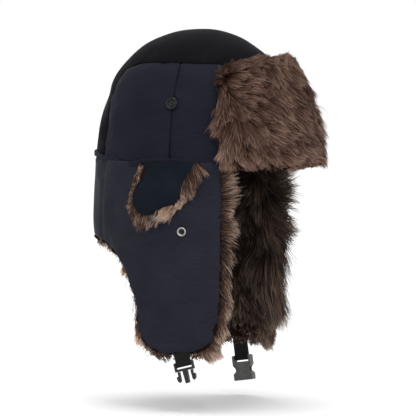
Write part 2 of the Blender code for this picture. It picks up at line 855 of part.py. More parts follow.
def build_visor():
    near = 0.0
    for name, thick, inset, finish in (
        ("visor_shell", FABRIC, 0.0, navy_fabric()),
        ("visor_stiffener", VISOR_STIFFENER, 4 * MM, padding_fill()),
        ("visor_fur", VISOR_FUR, 0.0, brown_fur()),
    ):
        visor_layer(name, near, near + thick, inset, finish)
        near += thick + VISOR_GAP


# ---------------------------------------------------------------- straps and buckle
def strap_frame(label, side):
    """The strap's own frame: +X out of the flap, +Y along the buckle's bar, -Z down the strap,
    with its origin at the upper end of the free webbing."""
    wall = frame_on(wall_point, STRAP_TURN[label], STRAP_TOP, -STRAP_DEPTH, side)
    out, up = wall.col[2].to_3d(), Vector((0, 0, 1))
    made = Matrix((out, up.cross(out), up)).transposed().to_4x4()
    made.translation = wall.translation
    return made


def skewed_strap(label, side):
    return strap_frame(label, side) @ Matrix.Rotation(-side * STRAP_SKEW[label], 4, "X")


def arc(centre, radius, start, stop, steps):
    return [
        (
            centre[0] + radius * math.cos(math.radians(blend(start, stop, i / steps))),
            centre[1] + radius * math.sin(math.radians(blend(start, stop, i / steps))),
        )
        for i in range(steps + 1)
    ]


def build_strap(label, side):
    """The sewn-in tab, and the free webbing that ends in an eye round the buckle's bar."""
    half = STRAP_THICKNESS / 2
    gap = half + 0.5 * MM
    block(
        f"strap_anchor_{label}",
        (-half, -STRAP_HALF_WIDTH, gap),
        (half, STRAP_HALF_WIDTH, gap + ANCHOR_HEIGHT),
        webbing(),
        skewed_strap(label, side),
    )
    eye = (0.0, -STRAP_DROP[label])
    neck = 4.6 * MM - STRAP_DROP[label]
    outline = [(-half, neck), *arc(eye, 2.9 * MM, 150, 390, 12), (half, neck)]
    outline += arc((0.0, 0.0), half, 0, 180, 6)
    hole = arc(eye, BAR_RADIUS + 0.35 * MM, 0, 324, 9)
    quarter_turn = Matrix.Rotation(-math.pi / 2, 4, "Z")
    extruded(
        f"strap_webbing_{label}",
        outline,
        -STRAP_HALF_WIDTH,
        STRAP_HALF_WIDTH,
        webbing(),
        skewed_strap(label, side) @ quarter_turn.inverted(),
        [hole],
    )


def buckle_frame(label, side):
    """The buckle's frame: its origin is the middle of the bar, and -Z runs to its far end."""
    return skewed_strap(label, side) @ Matrix.Translation((0, 0, -STRAP_DROP[label]))


def add_bar(body, name, half_length, place):
    """Joins a round bar along the buckle's Y axis to its frame."""
    bm = bmesh.new()
    bmesh.ops.create_cone(
        bm, cap_ends=True, segments=10, radius1=BAR_RADIUS, radius2=BAR_RADIUS,
        depth=2 * half_length,
    )
    bm.transform(place @ Matrix.Rotation(math.pi / 2, 4, "X"))
    return boolean(body, cutter_object(name, bm), "UNION")


def webbing_window(name, thick, place):
    """The cutter for the slot that the webbing passes through."""
    half = STRAP_HALF_WIDTH + 0.5 * MM
    low, high = (-thick, -half, -4.2 * MM), (thick, half, 4.2 * MM)
    made = block(name, low, high, padding_fill(), place)
    made.hide_render = True
    made.display_type = "WIRE"
    return made


def build_socket():
    """The female half: a waisted box with an open mouth, side windows and a webbing bar."""
    place = buckle_frame("left", SIDES["left"])
    half, length = SOCKET_HALF_WIDTH, SOCKET_LENGTH
    waist = 7.4 * MM
    right = [
        (half, -length),
        (half, -length + 6.5 * MM),
        (waist, -length + 9.0 * MM),
        (waist, -length + 12.0 * MM),
        (half - 0.3 * MM, -length + 15.5 * MM),
        (half - 0.3 * MM, 1.6 * MM),
        (half - 1.6 * MM, 2.6 * MM),
    ]
    outline = right + [(-y, z) for y, z in reversed(right)]
    thick = SOCKET_HALF_THICKNESS
    body = extruded("buckle_socket", outline, -thick, thick, buckle_plastic(), place)
    hollow = block(
        "cut_socket_hollow",
        (-thick + SOCKET_WALL, -half + 1.7 * MM, -length - 2 * MM),
        (thick - SOCKET_WALL, half - 1.7 * MM, -6.2 * MM),
        padding_fill(),
        place,
    )
    hollow.hide_render = True
    hollow.display_type = "WIRE"
    boolean(body, hollow)
    boolean(body, webbing_window("cut_socket_window", 2 * thick, place))
    add_bar(body, "bar_of_socket", STRAP_HALF_WIDTH + 1.0 * MM, place)


def build_plug():
    """The male half: a frame with the webbing bar and a centre guide, and two latch arms."""
    place = buckle_frame("right", SIDES["right"])
    half, thick = PLUG_HALF_WIDTH, PLUG_HALF_THICKNESS
    shoulder = LATCH_SHOULDER
    right = [
        (1.9 * MM, -PLUG_LENGTH),
        (2.4 * MM, shoulder - 2 * MM),
        (2.4 * MM, shoulder),
        (half, shoulder),
        (half, 1.6 * MM),
        (half - 1.0 * MM, 2.6 * MM),
    ]
    outline = right + [(-y, z) for y, z in reversed(right)]
    body = extruded("buckle_plug", outline, -thick, thick, buckle_plastic(), place)
    boolean(body, webbing_window("cut_plug_window", 2 * thick, place))
    add_bar(body, "bar_of_plug", STRAP_HALF_WIDTH + 1.0 * MM, place)
    root = shoulder - LAYER_GAP
    tip = -PLUG_LENGTH + 1.5 * MM
    arm = [
        (5.6 * MM, root),
        (8.0 * MM, root),
        (7.6 * MM, tip + 7 * MM),
        (9.9 * MM, tip + 5.6 * MM),
        (9.2 * MM, tip + 1.6 * MM),
        (7.2 * MM, tip),
        (5.8 * MM, tip + 1.6 * MM),
        (5.6 * MM, tip + 7 * MM),
    ]
    for name, sign in (("buckle_latch_front", 1), ("buckle_latch_rear", -1)):
        outline = [(sign * y, z) for y, z in arm]
        extruded(name, outline, -thick * 0.75, thick * 0.75, buckle_plastic(), place)


# ---------------------------------------------------------------- joints
def hinge(name, place, pieces, parent=None):
    """An empty on a hinge's axis, with its local X along the axis, that carries the pieces which
    turn about it."""
    made = bpy.data.objects.new(name, None)
    bpy.context.scene.collection.objects.link(made)
    made.empty_display_size = 20 * MM
    made.matrix_basis = place
    if parent is not None:
        made.parent, outer = parent
        made.matrix_parent_inverse = outer.inverted()
    for piece in pieces:
        moved = bpy.data.objects[piece]
        moved.parent = made
        moved.matrix_parent_inverse = place.inverted()
    return made, place


def fore_and_aft(place_x, height, side):
    """A hinge line along the hat that turns the wall below it outwards and up."""
    turn = Matrix.Rotation(-side * math.pi / 2, 4, "Z")
    return Matrix.Translation((side * place_x, 0, height)) @ turn


def build_hinges():
    across = Matrix.Translation((0, -HALF_LENGTH - VISOR_STAND_OFF, VISOR_LOW))
    hinge("visor_hinge", across, ["visor_shell", "visor_stiffener", "visor_fur"])
    for label, side in SIDES.items():
        flap = hinge(
            f"ear_flap_{label}_hinge",
            fore_and_aft(FLAP_HINGE_X, FLAP_HINGE_Z, side),
            [
                f"{name}_{label}"
                for name in (
                    "ear_flap_shell",
                    "ear_flap_padding",
                    "ear_flap_fur",
                    "flap_snap_socket",
                    "flap_snap_post",
                    "cover_snap_socket",
                    "cover_snap_post",
                    "strap_anchor",
                )
            ],
        )
        cover = ("ear_cover_shell", "ear_cover_fur", "cover_snap_cap", "cover_snap_stud")
        hinge(
            f"ear_cover_{label}_hinge",
            fore_and_aft(COVER_HINGE_X, COVER_HINGE_Z, side),
            [f"{name}_{label}" for name in cover],
            flap,
        )
        outwards = Matrix.Rotation(-math.pi / 2, 4, "Z")
        strap = hinge(
            f"strap_{label}_hinge",
            skewed_strap(label, side) @ outwards,
            [f"strap_webbing_{label}"],
            flap,
        )
        half = "buckle_socket" if label == "left" else "buckle_plug"
        bar = hinge(f"{half}_hinge", buckle_frame(label, side) @ outwards, [half], strap)
    place = buckle_frame("right", SIDES["right"])
    for name, sign in (("front", 1), ("rear", -1)):
        root = place @ Matrix.Translation((0, sign * LATCH_ROOT_Y, LATCH_SHOULDER))
        hinge(f"buckle_latch_{name}_flexure", root, [f"buckle_latch_{name}"], bar)


# ---------------------------------------------------------------- the whole hat
def main():
    clear_scene()
    build_crown()
    build_neck()
    build_visor()
    for label, side in SIDES.items():
        build_ear_flap(label, side)
        build_ear_cover(label, side)
        build_snaps(label, side)
        build_strap(label, side)
    build_socket()
    build_plug()
    build_hinges()


main()
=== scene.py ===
"""Looks of the trapper hat: smooth padded fabric, imitation fur made of real strands, snaps,
webbing and a moulded buckle, all placed on the CAD frame. Metres, +Z up, front towards -Y."""

import json
import math

import bmesh
import bpy
import numpy as np
from mathutils import Matrix, Vector
from mathutils.kdtree import KDTree


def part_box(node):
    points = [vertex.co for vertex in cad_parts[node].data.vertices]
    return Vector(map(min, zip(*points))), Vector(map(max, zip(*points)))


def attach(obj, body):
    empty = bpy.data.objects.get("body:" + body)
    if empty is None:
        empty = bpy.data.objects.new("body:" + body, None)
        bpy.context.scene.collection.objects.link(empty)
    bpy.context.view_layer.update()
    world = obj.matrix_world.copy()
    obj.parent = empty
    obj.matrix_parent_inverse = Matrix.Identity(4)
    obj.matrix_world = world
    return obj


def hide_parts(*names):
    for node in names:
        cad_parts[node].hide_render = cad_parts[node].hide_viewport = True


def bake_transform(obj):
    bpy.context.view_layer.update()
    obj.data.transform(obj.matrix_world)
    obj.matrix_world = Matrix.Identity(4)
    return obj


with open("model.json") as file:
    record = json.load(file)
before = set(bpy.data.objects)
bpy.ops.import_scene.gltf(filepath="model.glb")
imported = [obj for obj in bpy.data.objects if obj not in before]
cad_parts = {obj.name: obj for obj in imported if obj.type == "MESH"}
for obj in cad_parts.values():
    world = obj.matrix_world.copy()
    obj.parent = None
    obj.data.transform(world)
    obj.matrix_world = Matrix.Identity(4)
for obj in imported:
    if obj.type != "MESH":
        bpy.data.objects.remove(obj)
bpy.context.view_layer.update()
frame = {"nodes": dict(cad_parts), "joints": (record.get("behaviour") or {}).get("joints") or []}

MM = 0.001
DOWN = np.array([0.0, 0.0, -1.0])

# ---------------------------------------------------------------- sizes, from the frame
FABRIC = 1.2 * MM
CROWN_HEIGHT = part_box("crown_center_panel")[1][2] - 1 * MM
HALF_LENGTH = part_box("crown_center_panel")[1][1]
HALF_WIDTH = 93 * MM
CROWN_POWER = 2.1
ARCH_HALF_LENGTH = 80 * MM
ARCH_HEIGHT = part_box("crown_side_rear_left")[1][2]
ARCH_POWER = 4.5
SIDE_SEAM_Y = -4 * MM

CURTAIN_FLARE = 2.5 * MM
CURTAIN_FLARE_DROP = 50 * MM
CURTAIN_TOP = 5 * MM  # tucked up under the hem band
FLAP_FRONT, FLAP_MIDDLE, FLAP_REAR = 59.0, 84.0, 107.0
FLAP_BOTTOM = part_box("ear_flap_shell_left")[0][2]
FLAP_SHOULDER = -140 * MM
FLAP_POWER = 3.0
NECK_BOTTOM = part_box("neck_shell")[0][2] + 2 * MM
NECK_POWER = 6.5
NECK_SEAM = 134.0
EAR_HOLE = (91.5, -30 * MM)
EAR_HOLE_HALF = (15 * MM, 13 * MM)

COVER_EDGE = (  # degrees round the head, and millimetres above the hem
    (70.5, 3.5), (74, -6), (77, -18), (79, -31), (83, -40), (90, -43.5), (97, -50),
    (103, -49), (107.5, -37), (108, -20), (106, -6), (104, 3.5),
)

VISOR_HALF_TURN = 60.0
VISOR_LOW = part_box("visor_shell")[0][2]
VISOR_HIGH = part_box("visor_shell")[1][2]
VISOR_CORNER_LOW = 84 * MM
VISOR_CORNER_TURN = 30.0
VISOR_STAND_OFF = 2.2 * MM
VISOR_LEAN = 24 * MM
VISOR_LEAN_HEIGHT = 100 * MM
VISOR_LEAN_POWER = 1.9

# How long the fur is at the front edge and at the lower front corner of each flap, as shares.
FRINGE = {"left": (1.4, 0.45), "right": (0.6, 0.46)}

CROWN_SNAP = (88.0, 62 * MM)
FLAP_SNAP = (80.3, -62.5 * MM)
COVER_SNAP = (93.5, -49.5 * MM)
STRAP_TURN = {"left": 86.5, "right": 80.5}

SIDES = {"left": 1.0, "right": -1.0}


# ---------------------------------------------------------------- small helpers
def unit(vectors):
    return vectors / np.maximum(np.linalg.norm(vectors, axis=-1, keepdims=True), 1e-12)


def smooth(t):
    t = np.clip(t, 0.0, 1.0)
    return t * t * (3 - 2 * t)


def blend(a, b, share):
    return a + (b - a) * share


def waves(points, size, seed, count=7):
    """Smooth seeded noise of about unit strength, with features of the given size."""
    rng = np.random.default_rng(seed)
    total = np.zeros(len(points))
    for _ in range(count):
        way = unit(rng.normal(size=3)) * 2 * math.pi / (size * rng.uniform(0.7, 1.6))
        total += np.sin(points @ way + rng.uniform(0, 2 * math.pi))
    return total / math.sqrt(count / 2)


def mirrored(points, side):
    return points * np.array([side, 1.0, 1.0])


def new_mesh(name, points, faces, uv=None, smooth_faces=True):
    """An object from an array of points and a list of equal-sized faces. uv is one pair for each
    point, and goes on a layer named cloth."""
    mesh = bpy.data.meshes.new(name)
    corners = np.asarray(faces, dtype=np.int32)
    mesh.vertices.add(len(points))
    mesh.vertices.foreach_set("co", np.asarray(points, dtype=np.float32).ravel())
    mesh.loops.add(corners.size)
    mesh.loops.foreach_set("vertex_index", corners.ravel())
    mesh.polygons.add(len(corners))
    starts = np.arange(0, corners.size, corners.shape[1], dtype=np.int32)
    mesh.polygons.foreach_set("loop_start", starts)
    mesh.update(calc_edges=True)
    mesh.validate()
    if uv is not None:
        layer = mesh.uv_layers.new(name="cloth")
        layer.data.foreach_set("uv", np.asarray(uv, dtype=np.float32)[corners.ravel()].ravel())
    if smooth_faces:
        mesh.shade_smooth()
    made = bpy.data.objects.new(name, mesh)
    bpy.context.scene.collection.objects.link(made)
    return made


def grid_faces(columns, rows, close=False, flip=False):
    """Quads over a grid of points stored column by column."""
    i = np.arange(columns if close else columns - 1)
    j = np.arange(rows - 1)
    i, j = (a.ravel() for a in np.meshgrid(i, j, indexing="ij"))
    k = (i + 1) % columns
    quads = [i * rows + j, k * rows + j, k * rows + j + 1, i * rows + j + 1]
    if flip:
        quads.reverse()
    return np.stack(quads, axis=1)


def grid_normals(grid):
    """Unit normals of a (columns, rows, 3) grid, along d(column) x d(row)."""
    return unit(np.cross(np.gradient(grid, axis=0), np.gradient(grid, axis=1)))


def arc_lengths(path):
    """How far along a path each of its points lies."""
    return np.concatenate([[0.0], np.cumsum(np.linalg.norm(np.diff(path, axis=0), axis=1))])


def moved_to(points, place):
    """Points given in a place's own frame, in the hat's."""
    return points.reshape(-1, 3) @ np.array(place.to_3x3()).T + np.array(place.translation)


def edge_distance(points, edge):
    """The distance of each point from the nearest of some edge points."""
    found = np.full(len(points), 1e9)
    for start in range(0, len(edge), 64):
        gap = points[:, None, :] - edge[None, start : start + 64, :]
        found = np.minimum(found, np.sqrt((gap**2).sum(-1)).min(1))
    return found


def vertex_places(piece):
    places = np.empty(len(piece.data.vertices) * 3, np.float32)
    piece.data.vertices.foreach_get("co", places)
    return places.reshape(-1, 3)


def bake_modifiers(piece):
    """Replaces a piece's mesh by its evaluated one."""
    depsgraph = bpy.context.evaluated_depsgraph_get()
    final = bpy.data.meshes.new_from_object(piece.evaluated_get(depsgraph), depsgraph=depsgraph)
    piece.modifiers.clear()
    piece.data = final
    return piece


def solidify(piece, thick, offset=-1.0):
    made = piece.modifiers.new("thickness", "SOLIDIFY")
    made.thickness = thick
    made.offset = offset
    return bake_modifiers(piece)


def subdivide(piece, levels=1):
    made = piece.modifiers.new("finer", "SUBSURF")
    made.levels = made.render_levels = levels
    return bake_modifiers(piece)


def dress(piece, finish):
    piece.data.materials.clear()
    piece.data.materials.append(finish)
    return piece


# ---------------------------------------------------------------- surfaces
def dome_reach(z, depth=0.0):
    rise = np.clip(z / (CROWN_HEIGHT - depth), 0.0, 1.0)
    return (1 - rise**CROWN_POWER) ** (1 / CROWN_POWER)


def dome(turn, z, depth=0.0):
    """Points on the crown at degrees from the front, at a height, at a depth in the cloth."""
    angle, reach = np.radians(turn), dome_reach(z, depth)
    x = (HALF_WIDTH - depth) * reach * np.sin(angle)
    y = -(HALF_LENGTH - depth) * reach * np.cos(angle)
    return np.stack(np.broadcast_arrays(x, y, z), axis=-1)


def wall(turn, z, depth=0.0):
    """Points on the curtain of ear flaps and neck piece."""
    swell = CURTAIN_FLARE * smooth(-z / CURTAIN_FLARE_DROP)
    angle = np.radians(turn)
    x = (HALF_WIDTH + swell - depth) * np.sin(angle)
    y = -(HALF_LENGTH + swell - depth) * np.cos(angle)
    return np.stack(np.broadcast_arrays(x, y, z), axis=-1)


def visor(turn, z, depth=0.0):
    share = np.maximum(0.0, z) / VISOR_LEAN_HEIGHT
    offset = VISOR_STAND_OFF - depth - VISOR_LEAN * share**VISOR_LEAN_POWER
    angle = np.radians(turn)
    x = (HALF_WIDTH + offset) * np.sin(angle)
    y = -(HALF_LENGTH + offset) * np.cos(angle)
    return np.stack(np.broadcast_arrays(x, y, z), axis=-1)


def place_on(surface, turn, z, side):
    """A matrix on a surface: +Z leaves it and +Y is as upright as it can be."""
    here = surface(turn, z)
    along = surface(turn + 0.05, z) - here
    up = surface(turn, z + 0.05 * MM) - here
    out = unit(np.cross(along, up))
    up = unit(up - out * (up @ out))
    here, out, up = (mirrored(v, side) for v in (here, out, up))
    made = Matrix(np.stack([np.cross(up, out), up, out]).tolist()).transposed().to_4x4()
    made.translation = here.tolist()
    return made


# Arc length along the wall, so that outlines and fur can be laid out flat.
WALL_TURNS = np.linspace(-200.0, 200.0, 4001)
WALL_ARC = arc_lengths(wall(WALL_TURNS, np.array(-40 * MM)))
WALL_ARC -= np.interp(0.0, WALL_TURNS, WALL_ARC)


def arc_of(turn):
    return np.interp(turn, WALL_TURNS, WALL_ARC)


def turn_of(arc):
    return np.interp(arc, WALL_ARC, WALL_TURNS)


def curtain_edge(k):
    """(turn, z) of the curtain's lower edge: 0 to 1 and 1 to 2 round the flap, 2 to 3 the neck."""
    k = np.asarray(k, dtype=float)
    quarter = np.where(k <= 1, k, 2 - k).clip(0, 1) * math.pi / 2
    reach = np.cos(quarter).clip(0) ** (2 / FLAP_POWER)
    rise = np.sin(quarter).clip(0) ** (2 / FLAP_POWER)
    round_turn = FLAP_MIDDLE + (FLAP_REAR - FLAP_MIDDLE) * reach * np.where(k <= 1, -1, 1)
    round_z = FLAP_SHOULDER + (FLAP_BOTTOM - FLAP_SHOULDER) * rise
    share = (k - 2).clip(0, 1)
    neck_turn = blend(FLAP_REAR, 180.0, share)
    neck_z = NECK_BOTTOM + (FLAP_SHOULDER - NECK_BOTTOM) * (1 - share) ** NECK_POWER
    turn = np.where(k <= 2, round_turn, neck_turn)
    return turn, np.where(k <= 2, round_z, neck_z)


def corner_shares(steps):
    """Even steps across a rounded corner, as shares of its quarter turn."""
    reaches = 1 - (np.arange(steps) / steps) ** 1.6
    return np.arccos(reaches ** (FLAP_POWER / 2)) * 2 / math.pi


# ---------------------------------------------------------------- materials
class Shader:
    """A Principled material under construction."""

    def __init__(self, name, roughness, metallic=0.0, **sockets):
        self.material = bpy.data.materials.new(name)
        self.material.use_nodes = True
        self.tree = self.material.node_tree
        self.shader = self.tree.nodes["Principled BSDF"]
        self.shader.inputs["Roughness"].default_value = roughness
        self.shader.inputs["Metallic"].default_value = metallic
        for socket, value in sockets.items():
            self.shader.inputs[socket.replace("_", " ")].default_value = value

    def node(self, kind, inputs=None, **settings):
        made = self.tree.nodes.new("ShaderNode" + kind)
        for key, value in settings.items():
            setattr(made, key, value)
        for key, value in (inputs or {}).items():
            if isinstance(value, bpy.types.NodeSocket):
                self.tree.links.new(value, made.inputs[key])
            else:
                made.inputs[key].default_value = value
        return made

    def cloth(self):
        return self.node("UVMap", uv_map="cloth").outputs[0]

    def place(self):
        return self.node("TexCoord").outputs["Object"]

    def noise(self, place, scale, detail):
        inputs = {"Vector": place, "Scale": scale, "Detail": detail}
        return self.node("TexNoise", inputs).outputs[0]

    def ramp(self, factor, root, middle, tip):
        made = self.node("ValToRGB", {0: factor})
        made.color_ramp.elements[0].color = (*root, 1.0)
        made.color_ramp.elements[1].color = (*tip, 1.0)
        made.color_ramp.elements.new(0.45).color = (*middle, 1.0)
        return made.outputs[0]

    def mix(self, factor, a, b):
        inputs = {0: factor}
        for socket, value in ((6, a), (7, b)):
            inputs[socket] = (*value, 1.0) if isinstance(value, tuple) else value
        return self.node("Mix", inputs, data_type="RGBA").outputs[2]

    def math(self, operation, a, b):
        return self.node("Math", {0: a, 1: b}, operation=operation).outputs[0]

    def line(self, value, slope, start):
        """A value times slope, plus start."""
        return self.math("ADD", self.math("MULTIPLY", value, slope), start)

    def colour(self, value):
        self.tree.links.new(value, self.shader.inputs["Base Color"])

    def roughness(self, value):
        self.tree.links.new(value, self.shader.inputs["Roughness"])

    def bump(self, height, distance, strength):
        made = self.node("Bump", {"Height": height, "Distance": distance, "Strength": strength})
        self.tree.links.new(made.outputs[0], self.shader.inputs["Normal"])


RIB = 1.15 * MM
RIB_SLANT = math.radians(-9)
TWILL = 1.4 * math.pi * MM


def ribbed_nylon(name, base, crest, shine):
    """Fine-ribbed nylon: cross ribs, a little slub, and faint painted highlights on the rib crests."""
    made = Shader(name, 0.62, Specular_IOR_Level=shine)
    cloth = made.node("Mapping", {"Vector": made.cloth(), "Rotation": (0, 0, RIB_SLANT)}).outputs[0]
    rib = made.node(
        "TexWave",
        {"Vector": cloth, "Scale": 2 * math.pi / (20 * RIB), "Distortion": 0.6,
         "Detail": 1.0, "Detail Scale": 0.4},
        bands_direction="Y",
    ).outputs["Fac"]
    stretched = made.node("Mapping", {"Vector": cloth, "Scale": (60, 900, 1)}).outputs[0]
    slub = made.noise(stretched, 1.0, 3.0)
    patch = made.noise(cloth, 28.0, 4.0)
    tone = made.math("ADD", made.math("MULTIPLY", rib, 0.45), made.math("MULTIPLY", slub, 0.55))
    tone = made.math("MULTIPLY", tone, made.line(patch, 0.8, 0.6))
    # Paler on the rib crests: a painted highlight. The slub and the broad patches are the yarn's own
    # tone.
    made.colour(made.mix(tone, base, crest))
    made.roughness(made.line(slub, 0.25, 0.5))
    made.bump(tone, 0.4 * MM, 0.8)
    return made.material


def quilted_cloth(name):
    made = Shader(name, 0.42, Sheen_Weight=0.1)
    fine = made.noise(made.place(), 900.0, 2.0)
    made.colour(made.mix(fine, (0.006, 0.006, 0.008), (0.022, 0.022, 0.028)))
    made.bump(fine, 0.1 * MM, 0.5)
    return made.material


def fur_strands(name, roots, middles, tips):
    """Fur whose strands carry their tone across and their length up the OFBake layer. Each of the
    colours is a pair, for the darkest strands and the palest."""
    made = Shader(name, 0.6, Specular_IOR_Level=0.12)
    split = made.node("SeparateXYZ", {0: made.node("UVMap", uv_map="OFBake").outputs[0]})
    across, along = split.outputs[0], split.outputs[1]
    # Each strand darkens towards its root: painted shade deep in the pile.
    dark, pale = (made.ramp(along, *colours) for colours in zip(roots, middles, tips))
    made.colour(made.mix(across, dark, pale))
    return made.material


def fur_backing(name, base, crest):
    """The dark undercoat sheet that shows between the strands: painted shade deep in the pile."""
    made = Shader(name, 0.9, Specular_IOR_Level=0.03)
    fine = made.noise(made.place(), 420.0, 4.0)
    broad = made.noise(made.place(), 40.0, 3.0)
    made.colour(made.mix(made.math("MULTIPLY", fine, broad), base, crest))
    made.bump(fine, 0.8 * MM, 0.8)
    return made.material


def worn_metal(name, base, scratch):
    made = Shader(name, 0.3, 1.0, Coat_Weight=0.3, Coat_Roughness=0.1)
    fine = made.noise(made.place(), 1500.0, 5.0)
    made.colour(made.mix(fine, base, scratch))
    made.roughness(made.line(fine, 0.22, 0.2))
    made.bump(fine, 0.03 * MM, 0.3)
    return made.material


def enamel(name):
    made = Shader(name, 0.2, Coat_Weight=0.25, Coat_Roughness=0.05, Specular_IOR_Level=0.08)
    fine = made.noise(made.place(), 900.0, 3.0)
    made.colour(made.mix(fine, (0.001, 0.001, 0.0012), (0.004, 0.004, 0.0045)))
    made.roughness(made.line(fine, 0.04, 0.1))
    return made.material


def moulded_plastic(name, base, worn):
    made = Shader(name, 0.4, Specular_IOR_Level=0.16)
    grain = made.noise(made.place(), 2500.0, 2.0)
    broad = made.noise(made.place(), 160.0, 3.0)
    made.colour(made.mix(broad, base, worn))
    made.roughness(made.line(broad, 0.2, 0.3))
    made.bump(grain, 0.04 * MM, 0.4)
    return made.material


def woven_webbing(name):
    made = Shader(name, 0.8, Specular_IOR_Level=0.08)
    inputs = {"Vector": made.cloth(), "Scale": 1 / TWILL, "Distortion": 0.3}
    twill = made.node("TexWave", inputs, bands_direction="DIAGONAL").outputs["Fac"]
    made.colour(made.mix(twill, (0.002, 0.002, 0.002), (0.016, 0.0155, 0.015)))
    made.bump(twill, 0.3 * MM, 0.8)
    return made.material


# Copies of one navy nylon, each set to its own brightness for how the light falls on its part: painted
# light and shade. The crown's centre panel is darkest, painted shade on the top of the hat. The side
# panels and hem, the ear covers, and the curtain with the visor's back each get their own copy.
NYLON = ribbed_nylon("navy_ribbed_nylon", (0.001, 0.001, 0.003), (0.0245, 0.0245, 0.038), 0.06)
SHADED_CROWN_NYLON = ribbed_nylon(
    "navy_crown_nylon_painted_shade", (0.0015, 0.0016, 0.0022), (0.006, 0.0062, 0.008), 0.025
)
SIDE_NYLON = ribbed_nylon(
    "navy_side_nylon", (0.0015, 0.0017, 0.0035), (0.0145, 0.0155, 0.026), 0.04
)
COVER_NYLON = ribbed_nylon(
    "navy_cover_nylon", (0.002, 0.0027, 0.0045), (0.0085, 0.0115, 0.018), 0.03
)
LINING = quilted_cloth("quilted_lining_cloth")
FUR_FRONT = fur_strands(
    "visor_fur_brown",
    ((0.008, 0.004, 0.003), (0.024, 0.012, 0.008)),
    ((0.04, 0.017, 0.011), (0.10, 0.05, 0.034)),
    ((0.055, 0.026, 0.018), (0.36, 0.235, 0.18)),
)
# The palest tips, near cream, are painted backlight for the curtain's rear fringe.
FUR_LINING = fur_strands(
    "lining_fur_brown",
    ((0.004, 0.002, 0.0015), (0.024, 0.012, 0.008)),
    ((0.010, 0.0048, 0.0034), (0.25, 0.136, 0.091)),
    ((0.016, 0.0075, 0.0055), (0.90, 0.68, 0.54)),
)
FUR_COVER = fur_strands(
    "cover_fur_brown",
    ((0.008, 0.004, 0.003), (0.03, 0.016, 0.011)),
    ((0.03, 0.013, 0.008), (0.22, 0.13, 0.09)),
    ((0.05, 0.022, 0.015), (0.54, 0.40, 0.31)),
)
BACKING = fur_backing("fur_undercoat_painted_shade", (0.003, 0.0015, 0.001), (0.03, 0.015, 0.01))
BLACK_METAL = enamel("black_enamelled_metal")
# A darker copy of the plated metal, for the ear cover's cap: painted shade where the cap sits down in
# the fur.
SHADED_PLATED_METAL = worn_metal("plated_metal_painted_shade", (0.04, 0.037, 0.033), (0.16, 0.15, 0.13))
BRIGHT_METAL = worn_metal("plated_metal", (0.2, 0.195, 0.185), (0.5, 0.49, 0.46))
PLUG_PLASTIC = moulded_plastic(
    "dark_moulded_plastic", (0.010, 0.010, 0.010), (0.030, 0.0305, 0.029)
)
# The socket and the plug are one plastic. The socket's copy is paler: painted light where the lamps
# fall on it.
LIT_SOCKET_PLASTIC = moulded_plastic(
    "moulded_plastic_painted_light", (0.045, 0.045, 0.044), (0.12, 0.118, 0.114)
)
WEBBING = woven_webbing("black_webbing")


# ---------------------------------------------------------------- cloth simulation
SETTLE_FRAMES = 12
STIFFNESS = 6.0


def settle(piece, pinned, grow, pressure, most):
    """Lets a sheet puff out between its sewn edges: a cloth simulation with the edges pinned, its
    result kept as the mesh, with no point moved further than most."""
    rest = vertex_places(piece)
    group = piece.vertex_groups.new(name="sewn")
    group.add([int(i) for i in np.flatnonzero(pinned)], 1.0, "REPLACE")
    made = piece.modifiers.new("settle", "CLOTH")
    cloth = made.settings
    cloth.vertex_group_mass = group.name
    cloth.quality = 6
    cloth.mass = 0.2
    cloth.tension_stiffness = STIFFNESS
    cloth.compression_stiffness = STIFFNESS
    cloth.shear_stiffness = STIFFNESS / 2
    cloth.bending_stiffness = STIFFNESS / 10
    cloth.shrink_min = -grow
    cloth.use_pressure = True
    cloth.uniform_pressure_force = pressure
    cloth.effector_weights.gravity = 0.0
    scene = bpy.context.scene
    made.point_cache.frame_start = 1
    made.point_cache.frame_end = SETTLE_FRAMES
    for step in range(1, SETTLE_FRAMES + 1):
        scene.frame_set(step)
    bake_modifiers(piece)
    scene.frame_set(1)
    shift = vertex_places(piece) - rest
    size = np.linalg.norm(shift, axis=1, keepdims=True)
    shift *= np.tanh(size / most) * most / np.maximum(size, 1e-9)
    piece.data.vertices.foreach_set("co", (rest + shift).ravel())
    piece.data.update()


# ---------------------------------------------------------------- crown
def seam_sink(distance, depth, width):
    """How far padded cloth sinks near a seam."""
    return depth * np.exp(-((distance / width) ** 1.5))


# Heights at which the back of the crown swells or sinks, and by how much.
REAR_BULGES = ((98 * MM, 1.6 * MM), (34 * MM, -2.6 * MM))


def padded_panel(name, grid, uv, replaced, flip, seed, finish):
    """One padded panel of the crown, from its smooth grid of points."""
    columns, rows = grid.shape[:2]
    points = grid.reshape(-1, 3)
    normals = grid_normals(grid).reshape(-1, 3) * (-1 if flip else 1)
    edge = np.concatenate([grid[0], grid[-1], grid[:, 0], grid[:, -1]])
    distance = edge_distance(points, edge)
    lift = 0.5 * MM * smooth(distance / (22 * MM)) - seam_sink(distance, 1.5 * MM, 3.2 * MM)
    lift += 0.32 * MM * waves(points, 7 * MM, seed) * np.exp(-distance / (7 * MM))
    lift += 0.35 * MM * waves(points, 34 * MM, seed + 1) * smooth(distance / (12 * MM))
    rear = smooth((points[:, 1] + 20 * MM) / (80 * MM))
    for height, bulge in REAR_BULGES:
        lift += rear * bulge * np.exp(-(((points[:, 2] - height) / (24 * MM)) ** 2))
    piece = new_mesh(name, points + normals * lift[:, None], grid_faces(columns, rows, flip=flip), uv)
    border = np.zeros((columns, rows), bool)
    border[[0, -1], :] = border[:, [0, -1]] = True
    settle(piece, border.ravel(), grow=0.012, pressure=0.25, most=0.9 * MM)
    subdivide(piece)
    solidify(piece, FABRIC)
    dress(piece, finish)
    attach(piece, "root")
    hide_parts(replaced)


